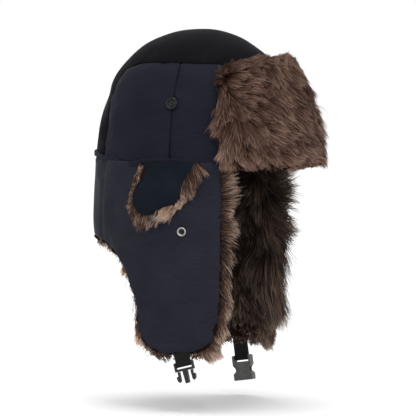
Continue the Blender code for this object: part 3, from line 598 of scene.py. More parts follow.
def side_panel(label, side, half):
    """A side panel of the crown, between the upright seam, the arched seam and the hem."""
    columns, rows = 25, 31
    a, b = np.meshgrid(np.linspace(0, 1, columns), np.linspace(0, 1, rows), indexing="ij")
    size = np.maximum(a, b) / np.maximum((a**ARCH_POWER + b**ARCH_POWER), 1e-9) ** (1 / ARCH_POWER)
    way = -1.0 if half == "front" else 1.0
    y = SIDE_SEAM_Y + way * (ARCH_HALF_LENGTH - way * SIDE_SEAM_Y) * a * size
    z = ARCH_HEIGHT * b * size
    span = dome_reach(z) ** 2 - (y / HALF_LENGTH) ** 2
    x = side * HALF_WIDTH * np.sqrt(np.maximum(span, 0))
    grid = np.stack([x, y, z], axis=-1)
    uv = np.stack([y, z], axis=-1).reshape(-1, 2)
    flip = side * way < 0
    name = f"crown_side_{half}_{label}"
    padded_panel(name + "_cloth", grid, uv, name, flip, 11 + len(name), SIDE_NYLON)


def arch_points(count):
    """Evenly spaced points along the arched seam, front hem to rear hem, as (y, z)."""
    fine = np.linspace(0, math.pi, 2000)
    y = -ARCH_HALF_LENGTH * np.sign(np.cos(fine)) * np.abs(np.cos(fine)) ** (2 / ARCH_POWER)
    z = ARCH_HEIGHT * np.sin(fine).clip(0) ** (2 / ARCH_POWER)
    arc = np.concatenate([[0], np.cumsum(np.hypot(np.diff(y), np.diff(z)))])
    even = np.linspace(0, arc[-1], count)
    return np.interp(even, arc, y), np.interp(even, arc, z), even


def centre_panel():
    """The strip from the front over the top to the back, between the two arched seams."""
    y, z, arc = arch_points(81)
    span = dome_reach(z) ** 2 - (y / HALF_LENGTH) ** 2
    x_edge = HALF_WIDTH * np.sqrt(np.maximum(span, 0))
    x = x_edge[:, None] * np.linspace(-1, 1, 33)[None, :]
    angle = np.arctan2(z, y)[:, None]
    low, high = np.full(x.shape, 30 * MM), np.full(x.shape, 200 * MM)
    for _ in range(40):
        middle = (low + high) / 2
        reach = dome_reach(middle * np.sin(angle))
        over = (x / HALF_WIDTH) ** 2 + (middle * np.cos(angle) / HALF_LENGTH) ** 2 > reach**2
        over |= middle * np.sin(angle) > CROWN_HEIGHT
        high, low = np.where(over, middle, high), np.where(over, low, middle)
    grid = np.stack([x, low * np.cos(angle), low * np.sin(angle)], axis=-1)
    uv = np.stack(np.broadcast_arrays(x, arc[:, None]), axis=-1).reshape(-1, 2)
    padded_panel("crown_center_cloth", grid, uv, "crown_center_panel", True, 5, SHADED_CROWN_NYLON)


def ring_piece(name, surface, section, wobble, seed, turns, higher=0.0):
    """A closed band round the hat. section is a loop of (z, depth) pairs, and higher is how much
    higher the band runs at each turn."""
    count = len(turns)
    rings = [surface(turns, np.full(count, z) + higher, depth) for z, depth in section]
    grid = np.stack(rings, axis=1)
    flat = grid.reshape(-1, 3)
    flat = flat + DOWN * (wobble * waves(flat * [1, 1, 0], 30 * MM, seed))[:, None]
    rows = len(section)
    i, j = (a.ravel() for a in np.meshgrid(np.arange(count), np.arange(rows), indexing="ij"))
    k, m = (i + 1) % count, (j + 1) % rows
    faces = np.stack([i * rows + j, k * rows + j, k * rows + m, i * rows + m], axis=1)
    arc = np.repeat(arc_of(turns - 180), rows)
    uv = np.stack([arc, flat[:, 2]], axis=1)
    return new_mesh(name, flat, faces, uv)


def rounded_section(low, high, near, far, steps=4):
    """A flat band's cross-section with rounded upper and lower edges, as (z, depth) pairs."""
    middle, half = (near + far) / 2, (far - near) / 2
    angles = np.linspace(0, math.pi, 2 * steps + 1)
    top = [(high - half + half * math.sin(a), middle + half * math.cos(a)) for a in angles]
    bottom = [(low + half - half * math.sin(a), middle - half * math.cos(a)) for a in angles]
    return top + bottom


def hem_rise(turns):
    """The hem runs level at the sides, dips behind the ear covers and climbs at the back."""
    back = np.abs((turns + 180) % 360 - 180)
    return (4 * smooth((back - 128) / 25) - 3.5 * np.exp(-(((back - 116) / 9) ** 2))) * MM


def build_crown():
    for label, side in SIDES.items():
        for half in ("front", "rear"):
            side_panel(label, side, half)
    centre_panel()
    section = rounded_section(2.5 * MM, 8.6 * MM, -1.3 * MM, 1.5 * MM)
    turns = np.linspace(0, 360, 240, endpoint=False)
    hem = ring_piece("hem_binding", wall, section, 0.3 * MM, 21, turns, hem_rise(turns))
    dress(hem, SIDE_NYLON)
    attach(hem, "root")
    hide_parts("hem_band")
    build_lining()


LINING_DEPTH = 7.0 * MM
QUILT = 30 * MM


def build_lining():
    """The quilted lining: a dome with sewn diamonds, and the sweatband at its foot."""
    turns = np.linspace(0, 360, 180, endpoint=False)
    heights = (CROWN_HEIGHT - LINING_DEPTH) * np.sin(np.linspace(0.005, math.pi / 2 - 0.02, 70))
    turn, z = np.meshgrid(turns, heights, indexing="ij")
    u = np.radians(turn) * HALF_WIDTH * np.maximum(dome_reach(z), 0.35) / QUILT
    v = z * 1.15 / QUILT
    sewn = np.minimum(np.abs(np.sin(math.pi * (u + v))), np.abs(np.sin(math.pi * (u - v))))
    bulge = 1.8 * MM * sewn**0.7 * smooth((CROWN_HEIGHT - z) / (30 * MM))
    grid = dome(turn, z, LINING_DEPTH)
    grid = grid - grid_normals(grid) * bulge[..., None]
    piece = new_mesh("quilted_lining", grid.reshape(-1, 3), grid_faces(*turn.shape, close=True))
    solidify(piece, 0.8 * MM)
    dress(piece, LINING)
    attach(piece, "root")
    blocks = [node for node in frame["nodes"] if node.startswith("crown_padding")]
    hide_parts("crown_lining", *blocks)
    section = rounded_section(0.5 * MM, 29 * MM, 6.6 * MM, 8.8 * MM)
    band = ring_piece("sweatband_cloth", dome, section, 0.2 * MM, 22, turns)
    dress(band, LINING)
    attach(band, "root")
    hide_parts("sweatband")


# ---------------------------------------------------------------- fur
TONES = 64
STRAND_SPREAD = 0.16
STRAND_CURL = 0.9 * MM


def grow_fur(name, roots, normals, flow, lengths, tones, finish, seed, lift, droop, clump,
             clump_gap, width=0.62 * MM, segments=4):
    """A mesh of tapered strands. Each leaves its root between the surface's normal and the way
    that the pile is combed, droops, curls a little, and gathers with its neighbours towards the
    tip of the nearest clump."""
    rng = np.random.default_rng(seed)
    jitter = rng.normal(0, STRAND_SPREAD, roots.shape)
    start = unit(normals * lift + flow * (1 - lift) + jitter)
    end = unit(flow + normals * lift * 0.35 + DOWN * droop + jitter * 0.8)
    aside = unit(np.cross(start, rng.normal(size=roots.shape)))
    phase = rng.uniform(0, 2 * math.pi, len(roots))
    shares = np.linspace(0, 1, segments + 1)
    s = shares[None, :, None]
    along = start[:, None] * s + (end - start)[:, None] * s * s / 2
    swing = STRAND_CURL * s * np.sin(phase[:, None, None] + 5.0 * s)
    path = roots[:, None] + lengths[:, None, None] * along + aside[:, None] * swing
    guide = nearest_guide(rng, roots, clump_gap)
    pull = rng.uniform(0.35, 1.0, len(roots))[:, None] * clump * shares**1.2
    path += (path[guide] - path) * pull[..., None]
    facing = unit(normals + rng.normal(0, 0.45, roots.shape))
    half = width / 2 * rng.uniform(0.6, 1.3, len(roots))
    return dress(strand_mesh(name, path, facing, half, tones), finish)


def nearest_guide(rng, roots, gap):
    """For each strand, the nearest of the few that the clumps gather round."""
    spans = np.sort(roots.max(0) - roots.min(0))
    clumps = spans[-1] * max(spans[-2], gap) / gap**2
    guides = rng.choice(len(roots), int(min(len(roots), clumps)), replace=False)
    tree = KDTree(len(guides))
    for index, guide in enumerate(guides):
        tree.insert(roots[guide], index)
    tree.balance()
    return np.array([guides[tree.find(p)[1]] for p in roots.tolist()])


def strand_mesh(name, path, facing, half, tones):
    """Flat tapered strips along paths, with the tone across and the length up the OFBake layer."""
    count, segments = len(path), path.shape[1] - 1
    shares = np.linspace(0, 1, segments + 1)[:-1]
    across = unit(np.cross(unit(np.gradient(path, axis=1)), facing[:, None, :]))[:, :-1]
    across *= (half[:, None] * (1 - shares**2.2) ** 0.8)[..., None]
    per = 2 * segments + 1
    points = np.empty((count, per, 3), np.float32)
    points[:, 0:-1:2] = path[:, :-1] - across
    points[:, 1:-1:2] = path[:, :-1] + across
    points[:, -1] = path[:, -1]
    strip = []
    for a in range(0, per - 3, 2):
        strip += [(a, a + 1, a + 3), (a, a + 3, a + 2)]
    strip.append((per - 3, per - 2, per - 1))
    faces = np.arange(count)[:, None, None] * per + np.array(strip)[None]
    piece = new_mesh(name, points.reshape(-1, 3), faces.reshape(-1, 3))
    uv = np.empty((count, per, 2), np.float32)
    uv[..., 0] = ((np.clip(tones, 0, 1) * (TONES - 2) + 1).astype(int) / TONES)[:, None]
    uv[:, 1:-1:2, 0] += 0.5 / TONES
    uv[:, :, 1] = 0.99
    uv[:, 0:-1:2, 1] = uv[:, 1:-1:2, 1] = shares * 0.98 + 0.01
    layer = piece.data.uv_layers.new(name="OFBake")
    layer.data.foreach_set("uv", uv.reshape(-1, 2)[faces.ravel()].ravel())
    return piece


def tone_field(points, seed, light, spread):
    """How pale each strand is, from 0 to 1: broad and fine patches, and each strand's own."""
    rng = np.random.default_rng(seed)
    patch = waves(points, 26 * MM, seed + 1) * 0.13 + waves(points, 9 * MM, seed + 2) * 0.15
    return light + patch + rng.normal(0, spread, len(points))


def scatter(rng, count, inside, low, high):
    """count random flat points for which inside() holds, between two corners."""
    kept = np.empty((0, 2))
    while len(kept) < count:
        tried = rng.uniform(low, high, (count * 2, 2))
        kept = np.concatenate([kept, tried[inside(tried)]])
    return kept[:count]


# ---------------------------------------------------------------- visor
def visor_top(turn):
    share = np.maximum(0.0, np.abs(turn) - VISOR_CORNER_TURN) / (VISOR_HALF_TURN - VISOR_CORNER_TURN)
    return blend(VISOR_CORNER_LOW, VISOR_HIGH, np.sqrt(np.maximum(0.0, 1 - share**2)))


def visor_grid(columns, rows, rim, middle):
    """Points that stand off the visor by one height at its rim and another in the middle."""
    across = np.linspace(-1, 1, columns)
    turn = VISOR_HALF_TURN * blend(across, np.sin(across * math.pi / 2), 0.5)
    turn = turn[:, None] * np.ones(rows)
    share = np.linspace(0, 1, rows)[None, :]
    z = blend(VISOR_LOW, visor_top(turn), share)
    side = 1 - np.abs(across)[:, None] ** 8
    upright = 1 - np.abs(share * 2 - 1) ** 8
    height = rim + (middle - rim) * (side * upright) ** 0.5
    return visor(turn, z, -height), turn, z


VISOR_PILE = (2.0 * MM, 11.0 * MM)  # how far it stands out at the rim and in the middle
DEGREE = 1.83 * MM  # about how long one degree round the hat is


def build_visor():
    grid, turn, z = visor_grid(61, 31, 0.3 * MM, 0.3 * MM)
    uv = np.stack([arc_of(turn), z], axis=-1).reshape(-1, 2)
    shell = new_mesh("visor_back_cloth", grid.reshape(-1, 3), grid_faces(61, 31), uv)
    solidify(shell, FABRIC, 1.0)
    dress(shell, NYLON)
    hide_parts("visor_shell", "visor_stiffener")
    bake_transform(shell)
    pile, _, _ = visor_grid(91, 45, *VISOR_PILE)
    points = pile.reshape(-1, 3)
    lumps = 1.3 * MM * waves(points, 11 * MM, 31) + 0.7 * MM * waves(points, 5 * MM, 32)
    points = points + grid_normals(pile).reshape(-1, 3) * lumps[:, None]
    base = new_mesh("visor_undercoat", points, grid_faces(91, 45))
    solidify(base, 3 * MM)
    dress(base, BACKING)
    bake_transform(base)
    rng = np.random.default_rng(41)
    flat = scatter(
        rng, 28000, lambda p: p[:, 1] < visor_top(p[:, 0]) - 1 * MM,
        (-VISOR_HALF_TURN, VISOR_LOW + 1 * MM), (VISOR_HALF_TURN, VISOR_HIGH),
    )
    strands = build_visor_fur("visor_fur_strands", *flat.T, 1.0, rng, 44)
    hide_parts("visor_fur")
    build_visor_fur("visor_fur_fringe", *visor_rim(16000, rng), 0.8, rng, 49)


def build_visor_fur(name, turn, z, share, rng, seed):
    """Strands on the visor, combed down and across, and turned outwards round its rim. share is how
    long they are."""
    rim = (VISOR_HALF_TURN - np.abs(turn)) * DEGREE
    rim = np.minimum(rim, np.minimum(visor_top(turn) - z, z - VISOR_LOW))
    height = blend(*VISOR_PILE, np.sqrt(smooth(rim / (12 * MM))))
    roots = visor(turn, z, -height)
    out = unit(visor(turn, z, -height - 1 * MM) - roots)
    along = unit(visor(turn + 0.5, z, -height) - roots)
    up = -DOWN
    swirl = 0.8 * waves(roots, 60 * MM, 42) + 0.35 * waves(roots, 22 * MM, 43)
    angle = math.radians(-52) + swirl * 0.5
    comb = along * np.cos(angle)[:, None] + up * np.sin(angle)[:, None]
    end = smooth((np.abs(turn / VISOR_HALF_TURN) - 0.8) / 0.2)
    outward = along * (np.sign(turn) * end)[:, None]
    rise = smooth((z - (visor_top(turn) - 12 * MM)) / (12 * MM))
    low = smooth((VISOR_LOW + 16 * MM - z) / (16 * MM))
    flow = comb * (1 - rise)[:, None] + (up * 0.35 + along * 0.5) * rise[:, None]
    flow = unit(flow + outward * 0.9 + out * 0.2)
    lengths = rng.uniform(11, 22, len(turn)) * MM * (1 - 0.2 * rise) * (1 - 0.6 * low)
    lengths *= 1 + 0.22 * waves(roots, 14 * MM, 46)
    lengths *= (1 - 0.4 * rise * smooth(turn / 12)) * share
    tones = tone_field(roots, 45, 0.31, 0.32) + 0.3 * smooth((34 * MM - z) / (30 * MM))
    piece = grow_fur(
        name, roots, out, flow, lengths, tones, FUR_FRONT, seed,
        lift=0.38, droop=0.12, clump=0.85, clump_gap=6.5 * MM,
    )
    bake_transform(piece)
    return piece


def visor_rim(count, rng):
    """Places along the visor's two ends and its top, as turns and heights."""
    around = rng.uniform(0, 1, count)
    turn = blend(-VISOR_HALF_TURN, VISOR_HALF_TURN, smooth(around * 1.4 - 0.2))
    z = visor_top(turn) - rng.uniform(0, 5, count) * MM
    ends = np.abs(turn) > VISOR_HALF_TURN - 1.0
    z = np.where(ends, blend(VISOR_LOW, VISOR_CORNER_LOW, rng.uniform(0, 1, count)), z)
    turn = np.where(ends, turn - np.sign(turn) * rng.uniform(0, 2.5, count), turn)
    return turn, z


def curtain_grid(columns_each, rows):
    """(turn, z) over one side of the curtain, from the flap's front edge to the middle back."""
    corner = corner_shares(columns_each)
    stations = np.concatenate([corner, [1.0], 2 - corner[:0:-1], np.linspace(2, 3, 2 * columns_each)])
    first = len(corner) * 2
    tops = np.concatenate([
        np.linspace(FLAP_FRONT, FLAP_REAR, first, endpoint=False),
        np.linspace(FLAP_REAR, 180.0, 2 * columns_each),
    ])
    low_turn, low_z = curtain_edge(stations)
    share = np.linspace(0, 1, rows)[None, :]
    turn = blend(tops[:, None], low_turn[:, None], share)
    return turn, blend(CURTAIN_TOP, low_z[:, None], share)


def flat_of(turn, z):
    return np.stack([arc_of(turn), z], axis=-1)


def curtain_outline():
    """The free edge of one side: the flap's front, its bottom and the neck's lower edge, flat."""
    turn, z = curtain_edge(np.linspace(0, 3, 400))
    front = np.linspace(CURTAIN_TOP, FLAP_SHOULDER, 80)
    return np.concatenate([flat_of(np.full(80, FLAP_FRONT), front), flat_of(turn, z)])


def wall_mesh(name, turn, z, depth, side, uv=None):
    """A sheet over a grid of places on the wall, on one side of the hat."""
    points = mirrored(wall(turn, z, depth).reshape(-1, 3), side)
    return new_mesh(name, points, grid_faces(*turn.shape, flip=side > 0), uv)


def open_ear_hole(piece, side):
    """Removes the faces over the ear hole and rounds its rim."""
    place = place_on(wall, *EAR_HOLE, side).inverted()
    bm = bmesh.new()
    bm.from_mesh(piece.data)
    gone = []
    for face in bm.faces:
        p = place @ face.calc_center_median()
        if (p.x / EAR_HOLE_HALF[0]) ** 2 + (p.y / EAR_HOLE_HALF[1]) ** 2 < 1 and abs(p.z) < 20 * MM:
            gone.append(face)
    bmesh.ops.delete(bm, geom=gone, context="FACES")
    back = place.inverted()
    for vertex in bm.verts:
        if vertex.is_boundary:
            p = place @ vertex.co
            size = math.hypot(p.x / EAR_HOLE_HALF[0], p.y / EAR_HOLE_HALF[1])
            if size < 1.4 and abs(p.z) < 20 * MM:
                p.x, p.y = p.x / size, p.y / size
                vertex.co = back @ p
    bm.to_mesh(piece.data)
    bm.free()
    return piece


EDGE_ROLL = 5.5 * MM  # the curtain's cloth turns under along its free edge
FOLD_PLACE = (87.0, -95 * MM)  # a soft fold that runs slantwise down the flap
FOLD_SLANT = 0.55
FOLD_HALF_LENGTH = 40 * MM
BACK_SINK = 2.6 * MM  # the back of the curtain lies closer to the head


def curtain_lift(flat, turn, base, distance):
    """How far the curtain's cloth stands from the wall: rolled under at the edge, sunk along the neck's
    seam, with a soft fold, broad unevenness and puckers near the edge."""
    short = np.maximum(0.0, EDGE_ROLL - distance)
    tucked = EDGE_ROLL - np.sqrt(EDGE_ROLL**2 - short**2)
    seam = np.abs(flat[:, 0] - arc_of(NECK_SEAM))
    lift = 0.8 * MM * smooth(distance / (24 * MM)) - tucked
    lift -= 1.3 * MM * np.exp(-((seam / (2.6 * MM)) ** 1.6))
    lift += 0.45 * MM * waves(base, 45 * MM, 51) * smooth(distance / (10 * MM))
    fold = flat - [arc_of(FOLD_PLACE[0]), FOLD_PLACE[1]]
    across = fold @ [math.cos(FOLD_SLANT), math.sin(FOLD_SLANT)]
    reach = np.abs(fold @ [-math.sin(FOLD_SLANT), math.cos(FOLD_SLANT)])
    lift += 1.1 * MM * np.exp(-((across / (5 * MM)) ** 2)) * smooth(1.3 - reach / FOLD_HALF_LENGTH)
    lift += 0.3 * MM * waves(base, 9 * MM, 52) * np.exp(-distance / (6 * MM))
    return lift - BACK_SINK * smooth((turn - 135) / 30)


def build_curtain(label, side):
    turn, z = curtain_grid(24, 46)
    flat = flat_of(turn, z).reshape(-1, 2)
    distance = edge_distance(flat, curtain_outline())
    base = wall(turn, z).reshape(-1, 3)
    lift = curtain_lift(flat, turn.ravel(), base, distance).reshape(turn.shape)
    shell = wall_mesh(f"curtain_cloth_{label}", turn, z, -lift, side, flat)
    border = (distance < 1.5 * MM) | (z.ravel() > CURTAIN_TOP - 1 * MM) | (turn.ravel() > 179)
    settle(shell, border, grow=0.012, pressure=0.12, most=1.3 * MM)
    subdivide(shell)
    open_ear_hole(shell, side)
    solidify(shell, FABRIC)
    dress(shell, NYLON)
    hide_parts(f"ear_flap_shell_{label}", f"ear_flap_padding_{label}", "neck_shell",
                "neck_padding", f"strap_anchor_{label}")
    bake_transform(shell)
    build_curtain_pile(label, side)
    build_curtain_fur(label, side)


def build_curtain_pile(label, side):
    """The dark undercoat inside the curtain: painted shade deep in the pile."""
    turn, z = curtain_grid(26, 50)
    distance = edge_distance(flat_of(turn, z).reshape(-1, 2), curtain_outline())
    points = wall(turn, z).reshape(-1, 3)
    lumps = 1.2 * MM * waves(points, 12 * MM, 61) + 0.6 * MM * waves(points, 5 * MM, 62)
    depth = 4.9 * MM + 5.5 * MM * np.sqrt(smooth(distance / (12 * MM))) + lumps
    piece = wall_mesh(f"curtain_undercoat_{label}", turn, z, depth.reshape(turn.shape), side)
    open_ear_hole(piece, side)
    solidify(piece, 3.5 * MM, 1.0)
    dress(piece, BACKING)
    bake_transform(piece)


def curtain_inside(p):
    """Whether flat points lie on one side of the curtain."""
    turn, z = turn_of(p[:, 0]), p[:, 1]
    steps = np.linspace(0, 3, 600)
    edge_turn, edge_z = curtain_edge(steps)
    lowest = np.interp(turn, np.maximum.accumulate(edge_turn), edge_z)
    return (z > lowest) & (z < CURTAIN_TOP) & (turn > FLAP_FRONT)


def curtain_fur_places(rng, outline):
    """Flat places for strands all over the inside and along the free edge, clear of the ear hole."""
    low = (arc_of(FLAP_FRONT), FLAP_BOTTOM)
    high = (arc_of(180.0), CURTAIN_TOP)
    inner = scatter(rng, 30000, curtain_inside, low, high)
    rim = outline[rng.integers(0, len(outline), 26000)]
    rim = rim + rng.normal(0, 2.6 * MM, rim.shape)
    rim = rim[curtain_inside(rim) | (rng.uniform(0, 1, len(rim)) < 0.35)]
    hole = flat_of(*EAR_HOLE)
    return [flat[np.hypot(*((flat - hole) / EAR_HOLE_HALF).T) > 1.05] for flat in (inner, rim)]


def curtain_fur_shares(label, turn, z, roots):
    """How long the strands are: tufted at the flap's front edge and behind the flap, short along its
    bottom and beside the strap. Also how much each belongs to the front, its corner and the rear."""
    arc = arc_of(turn)
    front = smooth((arc_of(FLAP_FRONT + 14) - arc) / (10 * MM))
    rear = smooth((arc - arc_of(95.0)) / (12 * MM))
    low = smooth((-148 * MM - z) / (22 * MM)) * (1 - front)
    corner = smooth((-138 * MM - z) / (22 * MM)) * front
    below_neck = smooth((-z - 95 * MM) / (15 * MM))
    tuft = 0.8 + 0.35 * waves(roots, 17 * MM, 78)
    spike = 0.34 + 1.15 * smooth((waves(roots, 15 * MM, 79) - 0.3) / 1.1)
    spike = spike * (0.45 + 0.85 * below_neck)
    shares = (0.8 + 0.62 * front * tuft) * (1 - 0.74 * low) * blend(1.0, spike, rear)
    edge_share, corner_share = FRINGE[label]
    shares *= blend(1.0, edge_share, front * (1 - corner)) * blend(1.0, corner_share, corner)
    strap = np.exp(-(((turn - STRAP_TURN[label]) / 7.5) ** 4))
    shares *= 1 - 0.75 * strap * smooth((-172 * MM - z) / (6 * MM))
    return shares, front, corner, rear


def build_curtain_fur(label, side):
    rng = np.random.default_rng(71 if side > 0 else 72)
    outline = curtain_outline()
    inner, rim = curtain_fur_places(rng, outline)
    for name, flat, on_rim in (("lining_fur", inner, False), ("edge_fur", rim, True)):
        turn, z = turn_of(flat[:, 0]), flat[:, 1]
        distance = edge_distance(flat, outline)
        depth = 4.6 * MM + 6.0 * MM * np.sqrt(smooth(distance / (12 * MM)))
        if on_rim:
            depth = rng.uniform(3.6, 8.5, len(flat)) * MM
        roots = wall(turn, z, depth)
        inward = unit(wall(turn, z, depth + 1 * MM) - roots)
        along = unit(wall(turn + 0.5, z, depth) - roots)
        nearest = outline[nearest_of(flat, outline)]
        away = unit(nearest - flat + (nearest - [arc_of(90.0), -60 * MM]) * 0.25)
        reach = smooth(1 - distance / (26 * MM))[:, None]
        outwards = along * away[:, :1] + DOWN * -away[:, 1:]
        swirl = (waves(roots, 40 * MM, 73) * 0.35)[:, None]
        flow = unit(DOWN * (1.0 - 0.75 * reach) + outwards * (0.25 + 0.95 * reach) + along * swirl)
        lengths = rng.uniform(15, 26, len(flat)) * MM
        shares, front, corner, rear = curtain_fur_shares(label, turn, z, roots)
        if label == "right":
            flow = unit(flow - along * 0.7 * corner[:, None])
        # Painted light and shade in the strands' tone. The fur is darker high inside the curtain and
        # paler lower down: painted shade in the hat's interior. The front edge is paler on the right
        # flap than on the left: painted light on the near flap. The fur is paler towards the back and
        # most of all along the rim: painted backlight on the rear fringe. The rest is scaled darker so
        # that only that fringe turns cream.
        light = 0.28 * smooth((-z - 110 * MM) / (70 * MM)) - 0.08 + 0.3 * rear
        light += front * (0.36 if label == "right" else 0.22)
        if on_rim:
            light += 0.25 + 0.5 * rear
        tones = (tone_field(roots, 74, 0.0, 0.24) + light) * blend(0.62, 1.0, rear * on_rim)
        piece = grow_fur(
            f"{name}_{label}", mirrored(roots, side), mirrored(inward, side),
            mirrored(flow, side), lengths * shares, tones, FUR_LINING, 75 + on_rim + int(side),
            lift=0.30 if on_rim else 0.42, droop=0.2, clump=0.84, clump_gap=6.5 * MM,
            segments=4 if on_rim else 3,
        )
        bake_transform(piece)
        if not on_rim:
            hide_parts(f"ear_flap_fur_{label}", "neck_fur")


def nearest_of(points, others):
    best = np.zeros(len(points), int)
    for start in range(0, len(points), 4000):
        gap = points[start : start + 4000, None, :] - others[None, :, :]
        best[start : start + 4000] = (gap**2).sum(-1).argmin(1)
    return best


# ---------------------------------------------------------------- ear covers
def cover_outline(count):
    """Evenly spaced places along the cover's free edge, as turns and heights."""
    edge = round_over(COVER_EDGE, 6)
    edge[:, 1] *= MM
    flat = flat_of(edge[:, 0], edge[:, 1])
    arc = arc_lengths(flat)
    even = np.linspace(0, arc[-1], count)
    return np.interp(even, arc, edge[:, 0]), np.interp(even, arc, edge[:, 1])


def build_cover(label, side):
    low_turn, low_z = cover_outline(49)
    top_turn = np.linspace(low_turn[0], low_turn[-1], len(low_turn))
    share = np.linspace(0, 1, 25)[None, :]
    turn = blend(top_turn[:, None], low_turn[:, None], share)
    z = blend(CURTAIN_TOP, low_z[:, None], share)
    flat = flat_of(turn, z).reshape(-1, 2)
    distance = edge_distance(flat, flat_of(low_turn, low_z))
    base = wall(turn, z).reshape(-1, 3)
    puff = 1.6 * MM * smooth(distance / (14 * MM)) - seam_sink(distance, 2.0 * MM, 2.2 * MM)
    puff += 0.5 * MM * waves(base, 24 * MM, 81)
    puff += 0.25 * MM * waves(base, 7 * MM, 82) * np.exp(-distance / (6 * MM))
    hem = smooth((z + 26 * MM) / (26 * MM))
    height = 7.2 * MM + puff.reshape(z.shape) - 5.6 * MM * hem
    shell = wall_mesh(f"ear_cover_cloth_{label}", turn, z, -height, side, flat)
    border = (distance < 1.0 * MM) | (z.ravel() > CURTAIN_TOP - 1 * MM)
    settle(shell, border, grow=0.015, pressure=0.2, most=1.2 * MM)
    subdivide(shell)
    solidify(shell, FABRIC)
    dress(shell, COVER_NYLON)
    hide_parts(f"ear_cover_shell_{label}")
    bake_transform(shell)
    pile = wall_mesh(
        f"ear_cover_undercoat_{label}", turn, z, 3.6 * MM * hem - 4.2 * MM, side
    )
    solidify(pile, 1.6 * MM, 0.0)
    dress(pile, BACKING)
    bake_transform(pile)
    build_cover_fur(label, side, flat_of(low_turn, low_z))


# Along the cover's free edge from its front end: the share of the way, how long the fringe is in
# millimetres, how far it hangs down, leans back and stands outwards, and how pale it is.
COVER_FRINGE = np.array((
    (0.00, 17, 0.8, -0.3, 0.8, 0.0),
    (0.12, 15, 0.9, -0.1, 0.6, 0.12),
    (0.22, 9, 1.1, 0.1, 0.3, 0.65),
    (0.30, 10, 1.2, 0.4, 0.2, 1.0),
    (0.36, 17, 0.7, 1.0, 0.3, 1.05),
    (0.46, 15, 0.8, 0.5, 0.5, 0.7),
    (0.56, 15, 1.0, 0.0, 0.7, 0.15),
    (0.70, 9, 0.9, 0.0, 0.7, 0.2),
    (0.84, 5, 0.7, 0.0, 0.6, 0.2),
    (1.00, 5, 0.9, 0.0, 0.6, 0.1),
))


def build_cover_fur(label, side, edge):
    """The fringe of the cover's lining: thin at the back edge, long below, and a pale fan where
    the lower edge turns up to the front."""
    rng = np.random.default_rng(83 if side > 0 else 84)
    arc = arc_lengths(edge)
    share = rng.uniform(0, 1, 8200)

    def on_edge(further):
        place = share * arc[-1] + further
        return np.stack([np.interp(place, arc, edge[:, k]) for k in (0, 1)], axis=1)

    ahead = unit(on_edge(1 * MM) - on_edge(-1 * MM))
    away = np.stack([ahead[:, 1], -ahead[:, 0]], axis=1)
    length, down, back, outwards, light = (
        np.interp(share, COVER_FRINGE[:, 0], column) for column in COVER_FRINGE[:, 1:].T
    )
    rim = on_edge(0.0) - away * rng.uniform(0, 6, len(share))[:, None] * MM
    turn, z = turn_of(rim[:, 0]), rim[:, 1]
    near_hem = smooth((z + 20 * MM) / (20 * MM))
    roots = wall(turn, z, -rng.uniform(2.6, 6.6, len(rim)) * (1 - 0.6 * near_hem) * MM)
    out = unit(wall(turn, z, -9 * MM) - wall(turn, z, -8 * MM))
    along = unit(wall(turn + 0.5, z) - wall(turn, z))
    sideways = away[:, 0] * outwards + back + 0.3 * waves(roots, 16 * MM, 85)
    hang = down - away[:, 1] * outwards
    flow = unit(along * sideways[:, None] + DOWN * hang[:, None] + out * 0.1)
    lengths = length * MM * rng.uniform(0.6, 1.15, len(rim)) * (1 + 0.18 * waves(roots, 9 * MM, 88))
    piece = grow_fur(
        f"ear_cover_fur_strands_{label}", mirrored(roots, side), mirrored(out, side),
        mirrored(flow, side), lengths, tone_field(roots, 87, -0.05, 0.34) + light, FUR_COVER, 86,
        lift=0.16, droop=0.2, clump=0.85, clump_gap=4 * MM, width=0.5 * MM,
    )
    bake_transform(piece)
    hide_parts(f"ear_cover_fur_{label}")


# ---------------------------------------------------------------- snaps
# Half cross-sections: shares of the radius, and millimetres above the base.
SNAP_RIM = ((0, 0), (0.93, 0), (1, 0.6), (0.92, 1.6), (0.76, 1.9), (0.62, 1.3), (0.58, 0.6), (0, 0.5))
SNAP_PLATE = ((0, 0), (1, 0), (1, 0.4), (0.75, 0.9), (0.45, 0.8), (0.3, 0.3), (0, 0.3))
SNAP_CAP = ((0, -3.2), (1.6, -3.2), (1.6, -1.6), (2.6, -1.5), (3, -0.9), (2.4, -0.2), (1, 0), (0, 0))


def turned(name, section, radius, base, place, finish, slot, segments=48):
    """A solid of revolution about the place's Z axis."""
    r, z = (round_over(section) * (radius, MM) + (0.0, base)).T
    angles = np.linspace(0, 2 * math.pi, segments, endpoint=False)[:, None]
    rings = np.stack(np.broadcast_arrays(r * np.cos(angles), r * np.sin(angles), z), axis=-1)
    piece = new_mesh(name, moved_to(rings, place), grid_faces(segments, len(z), close=True))
    bm = bmesh.new()
    bm.from_mesh(piece.data)
    bmesh.ops.remove_doubles(bm, verts=bm.verts, dist=1e-6)
    bmesh.ops.recalc_face_normals(bm, faces=bm.faces)
    bm.to_mesh(piece.data)
    bm.free()
    piece.data.set_sharp_from_angle(angle=math.radians(50))
    return dress(piece, finish)


def round_over(points, steps=4):
    """Rounds the corners of a profile by Chaikin's rule."""
    path = np.array(points, float)
    for _ in range(steps // 2):
        inner = [path[0]]
        for a, b in zip(path, path[1:]):
            inner += [a * 0.75 + b * 0.25, a * 0.25 + b * 0.75]
        inner.append(path[-1])
        path = np.array(inner)
    return path


def build_snap(kind, label, place, radii, base, *dressing):
    """A pressed snap socket: a rolled rim round an open well, and a black plate at the
    bottom of the well, with its small hole: painted shade inside the well."""
    rim = turned(f"{kind}_{label}", SNAP_RIM, radii[0], base, place, *dressing)
    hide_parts(f"{kind}_socket_{label}", f"{kind}_post_{label}")
    # The plate is black metal: painted shade in the socket's well.
    well_shade = turned(f"{kind}_plate_{label}", SNAP_PLATE, radii[1], base + 0.3 * MM, place,
                 BLACK_METAL, dressing[1])
    return rim, well_shade


